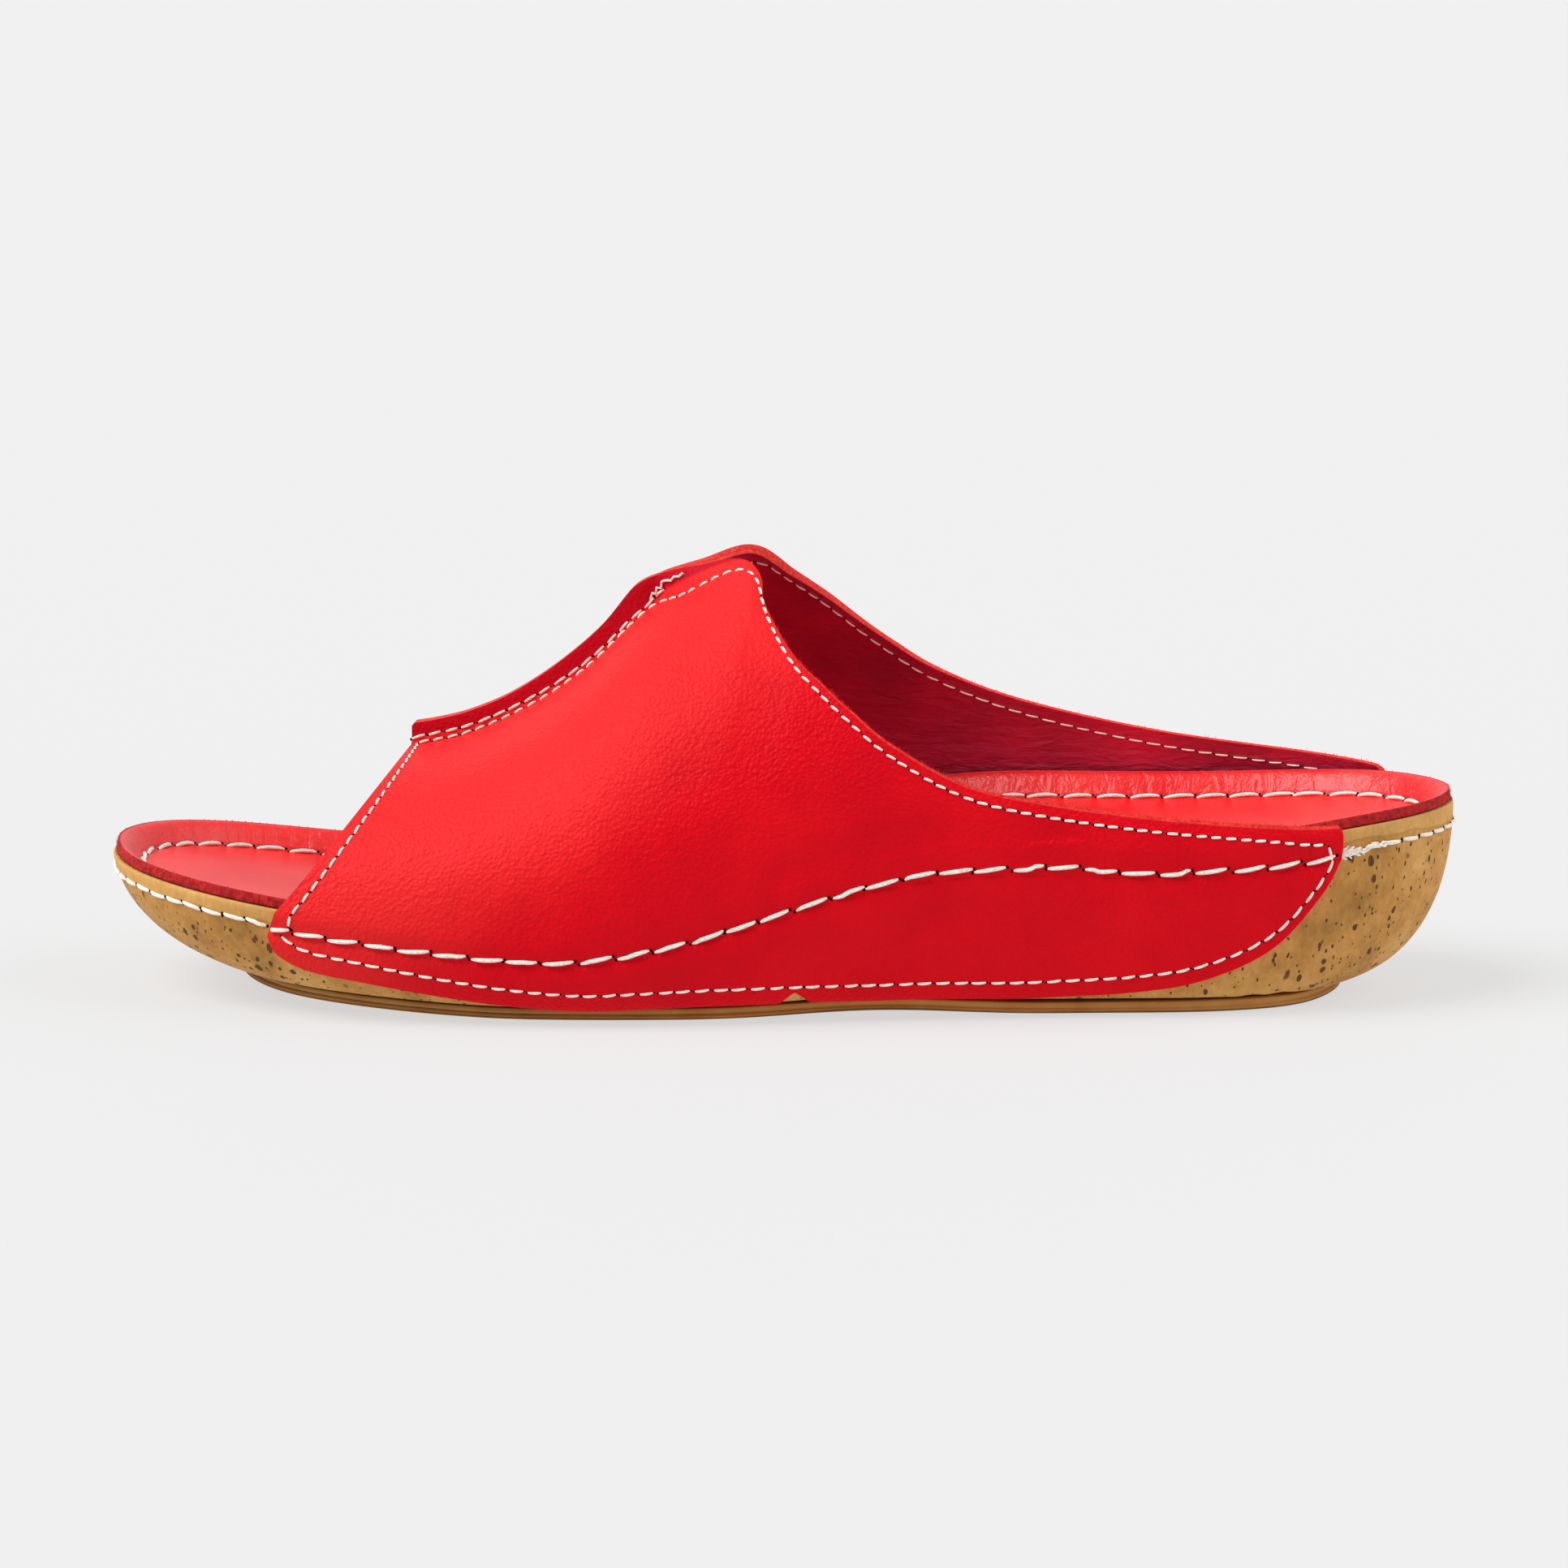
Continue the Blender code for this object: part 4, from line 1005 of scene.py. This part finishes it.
def made_mesh(shape, material):
    """The curves as one finished mesh piece."""
    piece = bpy.data.objects.new(shape.name, shape)
    bpy.context.collection.objects.link(piece)
    data = bpy.data.meshes.new_from_object(piece.evaluated_get(bpy.context.evaluated_depsgraph_get()))
    bpy.data.objects.remove(piece)
    piece = bpy.data.objects.new(shape.name, data)
    bpy.context.collection.objects.link(piece)
    data.materials.clear()
    data.materials.append(material)
    data.shade_smooth()
    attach(piece, "root")


def new_curves(name, thick, round_steps):
    shape = bpy.data.curves.new(name, "CURVE")
    shape.dimensions = "3D"
    shape.bevel_depth = thick / 2
    shape.bevel_resolution = round_steps
    shape.use_fill_caps = True
    return shape


def sewn(name, rows, thick):
    """Rows of stitches as one mesh, and the holes at their ends, dark blobs of painted shade, as one;
    a row is its places with normals, the pitch, the share of the pitch that shows, and how far a stitch
    slants."""
    threads = new_curves(name, thick, 2)
    holes = new_curves(name + "_holes", thick * 1.2, 1)
    for row, pitch, seen, lean in rows:
        places = np.array([place for place, _ in row])
        normals = np.array([normal for _, normal in row])
        gone = np.concatenate([[0], np.cumsum(np.linalg.norm(np.diff(places, axis=0), axis=1))])
        count = max(1, round(gone[-1] / pitch))
        step = gone[-1] / count

        def on_row(at):
            place = Vector([np.interp(at, gone, places[:, k]) for k in range(3)])
            normal = Vector([np.interp(at, gone, normals[:, k]) for k in range(3)]).normalized()
            return place, normal

        for i in range(count):
            begin = i * step + random.uniform(-0.05, 0.05) * pitch
            length = seen * step * random.uniform(0.93, 1.05)
            tilt = lean * random.uniform(0.6, 1.4)
            places_now = []
            for k in range(8):
                place, normal = on_row(begin + k / 7 * length)
                ahead = on_row(begin + k / 7 * length + 0.0002)[0] - place
                places_now.append((place + normal.cross(ahead).normalized() * tilt * (k / 7 - 0.5), normal))
            add_stitch(threads.splines.new("POLY"), places_now, thick)
            for k, turn in ((0, -1), (7, 1)):
                place, normal = places_now[k]
                ahead = (places_now[7][0] - places_now[0][0]).normalized() * turn
                spline = holes.splines.new("POLY")
                spline.points.add(2)
                for j, size in enumerate((0.6, 1.0, 0.35)):
                    middle = place + ahead * thick * (0.45 * j - 0.1) - normal * thick * 0.30
                    spline.points[j].co = (*middle, 1.0)
                    spline.points[j].radius = size
    made_mesh(threads, thread)
    made_mesh(holes, hole_shade)


# The cord, laid on whichever piece is outermost all round the shoe; its stitches are longer on the
# leather than on the bare sole at toe and heel.
outside, directions = [], []
wall_angles = [math.pi / 2 * k / 90 for k in range(91)]
for number in rim_numbers[:-1]:
    rim = rim_at(number)
    depth = cord_depth(rim.x) / MM
    angle = min(wall_angles, key=lambda a: abs(rim.z - wall_point(rim, a).z - depth))
    outside.append(wall_point(rim, angle) + CENTRE)
    directions.append(outward(number))
ring = laid(outside, directions, tree_of(leathers[OUTER], leathers[INNER], cup), 0.012)
ends = [
    np.argmin([(place - Vector(spot)).length for place, _ in ring])
    for side, folds in ((OUTER, OUTER_PANEL), (INNER, INNER_PANEL))
    for spot in [
        rim_at(rim_number(folds[end].rim * LENGTH, side)) + CENTRE
        - UP * cord_depth(folds[end].rim * LENGTH) / MM
        for end in ((0, -1) if side == OUTER else (-1, 0))
    ]
]
toe_end, heel_start, heel_end, toe_start = ends
sewn("cord_outside", [
    (ring[toe_end:heel_start], CORD_ON_LEATHER, LEATHER_SEEN, LEATHER_LEAN),
    (ring[heel_start:heel_end], CORD_ON_SOLE, SOLE_SEEN, SOLE_LEAN),
    (ring[heel_end:toe_start], CORD_ON_LEATHER, LEATHER_SEEN, LEATHER_LEAN),
    (ring[toe_start:] + ring[:toe_end], CORD_ON_SOLE, SOLE_SEEN, SOLE_LEAN),
], CORD_THICK)

inside = [rim_at(n) + CENTRE - outward(n) * CREASE_INSET / MM - UP * CREASE_DEPTH / MM
    for n in rim_numbers[:-1]]
crease_row = laid(inside, [UP + outward(n) * -0.7 for n in rim_numbers[:-1]], tree_of(footbed), 0.004)
sewn("cord_inside", [
    ([*crease_row, crease_row[0]], CORD_INSIDE, LEATHER_SEEN, LEATHER_LEAN)], CORD_THICK)

for side, label in ((OUTER, "near"), (INNER, "far")):
    collar, rear, hem, front, seam = rows_outside[side]
    sewn(label + "_rows", [
        (collar, COLLAR_PITCH, COLLAR_SEEN, FINE_LEAN), (rear, REAR_PITCH, FINE_SEEN, FINE_LEAN),
        (hem, HEM_PITCH, FINE_SEEN, FINE_LEAN), (front, FRONT_PITCH, FINE_SEEN, FINE_LEAN),
        (seam, SEAM_PITCH, FINE_SEEN, FINE_LEAN),
    ], FINE_THICK)
    collar, rear, hem, front, seam = rows_inside[side]
    sewn(label + "_lining_rows", [
        (collar[int(SEAM_ENDS * COLUMN_STEPS):], HEM_PITCH, FINE_SEEN, FINE_LEAN),
        (rear, REAR_PITCH, FINE_SEEN, FINE_LEAN), (front, FRONT_PITCH, FINE_SEEN, FINE_LEAN),
    ], FINE_THICK * 0.7)

# Thread ends that came loose: the back-tack where the instep seam's upper row stops, and the frayed
# knot where the cord was finished, just behind the near panel.
TACK = (
    (-4.4, -0.3), (-3.6, 0.8), (-2.9, 0.1), (-2.2, 1.2), (-1.2, 0.5), (-0.6, 1.7), (0.6, 1.3), (1.5, 0.7),
    (2.6, 1.0), (3.8, 0.4), (4.8, 0.6),
)
tack = new_curves("back_tack", FINE_THICK, 2)
row = rows_outside[OUTER][4]
end, normal = row[-1]
ahead = (end - row[-6][0]).normalized()
upward = normal.cross(ahead)
upward *= 1 if upward.z > 0 else -1
spline = tack.splines.new("POLY")
spline.points.add(len(TACK) - 1)
for point, (along, across) in zip(spline.points, TACK):
    point.co = (*(end + (ahead * along + upward * across + normal * 0.45) / MM), 1.0)
made_mesh(tack, thread)

knot = new_curves("frayed_knot", FINE_THICK * 0.8, 1)
KNOT_LENGTH, KNOT_THREADS = 11.0, 60
start = ring[heel_start][0]
for _ in range(KNOT_THREADS):
    gone = KNOT_LENGTH * random.random() ** 1.7
    place, normal = min(ring[heel_start:heel_end], key=lambda spot: abs((spot[0] - start).length * MM - gone))
    ahead = (ring[heel_start + 6][0] - start).normalized()
    upward = normal.cross(ahead)
    spline = knot.splines.new("POLY")
    spline.points.add(3)
    length, rise = random.uniform(1.0, 2.8), random.uniform(-1.1, 1.1) * (1.2 - gone / KNOT_LENGTH)
    for k, point in enumerate(spline.points):
        middle = ahead * length * (k / 3 - 0.5) + upward * (rise * k / 3 + random.uniform(-0.25, 0.25))
        point.co = (*(place + (middle + normal * random.uniform(0.1, 0.6)) / MM), 1.0)
        point.radius = 1.0 if 0 < k < 3 else 0.5
made_mesh(knot, thread)


def fibres(name, roots, thick, shortest, longest, material):
    """Loose fibres of cut leather, each from a root in its direction."""
    shape = new_curves(name, thick, 0)
    for place, direction in roots:
        spline = shape.splines.new("POLY")
        spline.points.add(2)
        length = random.uniform(shortest, longest) / MM
        bend = Vector([random.uniform(-0.5, 0.5) for _ in range(3)])
        for k, point in enumerate(spline.points):
            point.co = (*(place + (direction * k / 2 + bend * (k / 2) ** 2) * length), 1.0)
            point.radius = 1.0 - 0.35 * k
    made_mesh(shape, material)


# The nap: fibres that stand on the cut edges of the collar and on the insole's raw edge.
NAP_THICK = 0.00011
for side, label, count, longest in ((OUTER, "near", 900, 0.9), (INNER, "far", 500, 0.5)):
    edge = collar_edges[side]
    roots = []
    for _ in range(count):
        at = random.uniform(0, len(edge) - 1.001)
        (one, normal), (two, _) = edge[int(at)], edge[int(at) + 1]
        across = random.uniform(0, 1) * (LINING_THICKNESS + 0.3 * LEATHER_THICKNESS)
        roots.append((one.lerp(two, at % 1) + normal * across - UP * 0.0002,
            (UP + normal * 0.3).normalized()))
    fibres(label + "_nap", roots, NAP_THICK, 0.2, longest, cut_edge)

# The raw edge's width in mm, and how many fibres stand on it.
RAW_WIDTH, RAW_FIBRES = 1.4, 1500
raw_corners = [corner for corner, gap in zip(footbed.data.vertices, inset) if gap < RAW_WIDTH]
rooted = random.sample(raw_corners, min(RAW_FIBRES, len(raw_corners)))
roots = [(corner.co.copy(), corner.normal.copy()) for corner in rooted]
fibres("insole_nap", roots, NAP_THICK * 1.3, 0.12, 0.32, footbed.data.materials[0])
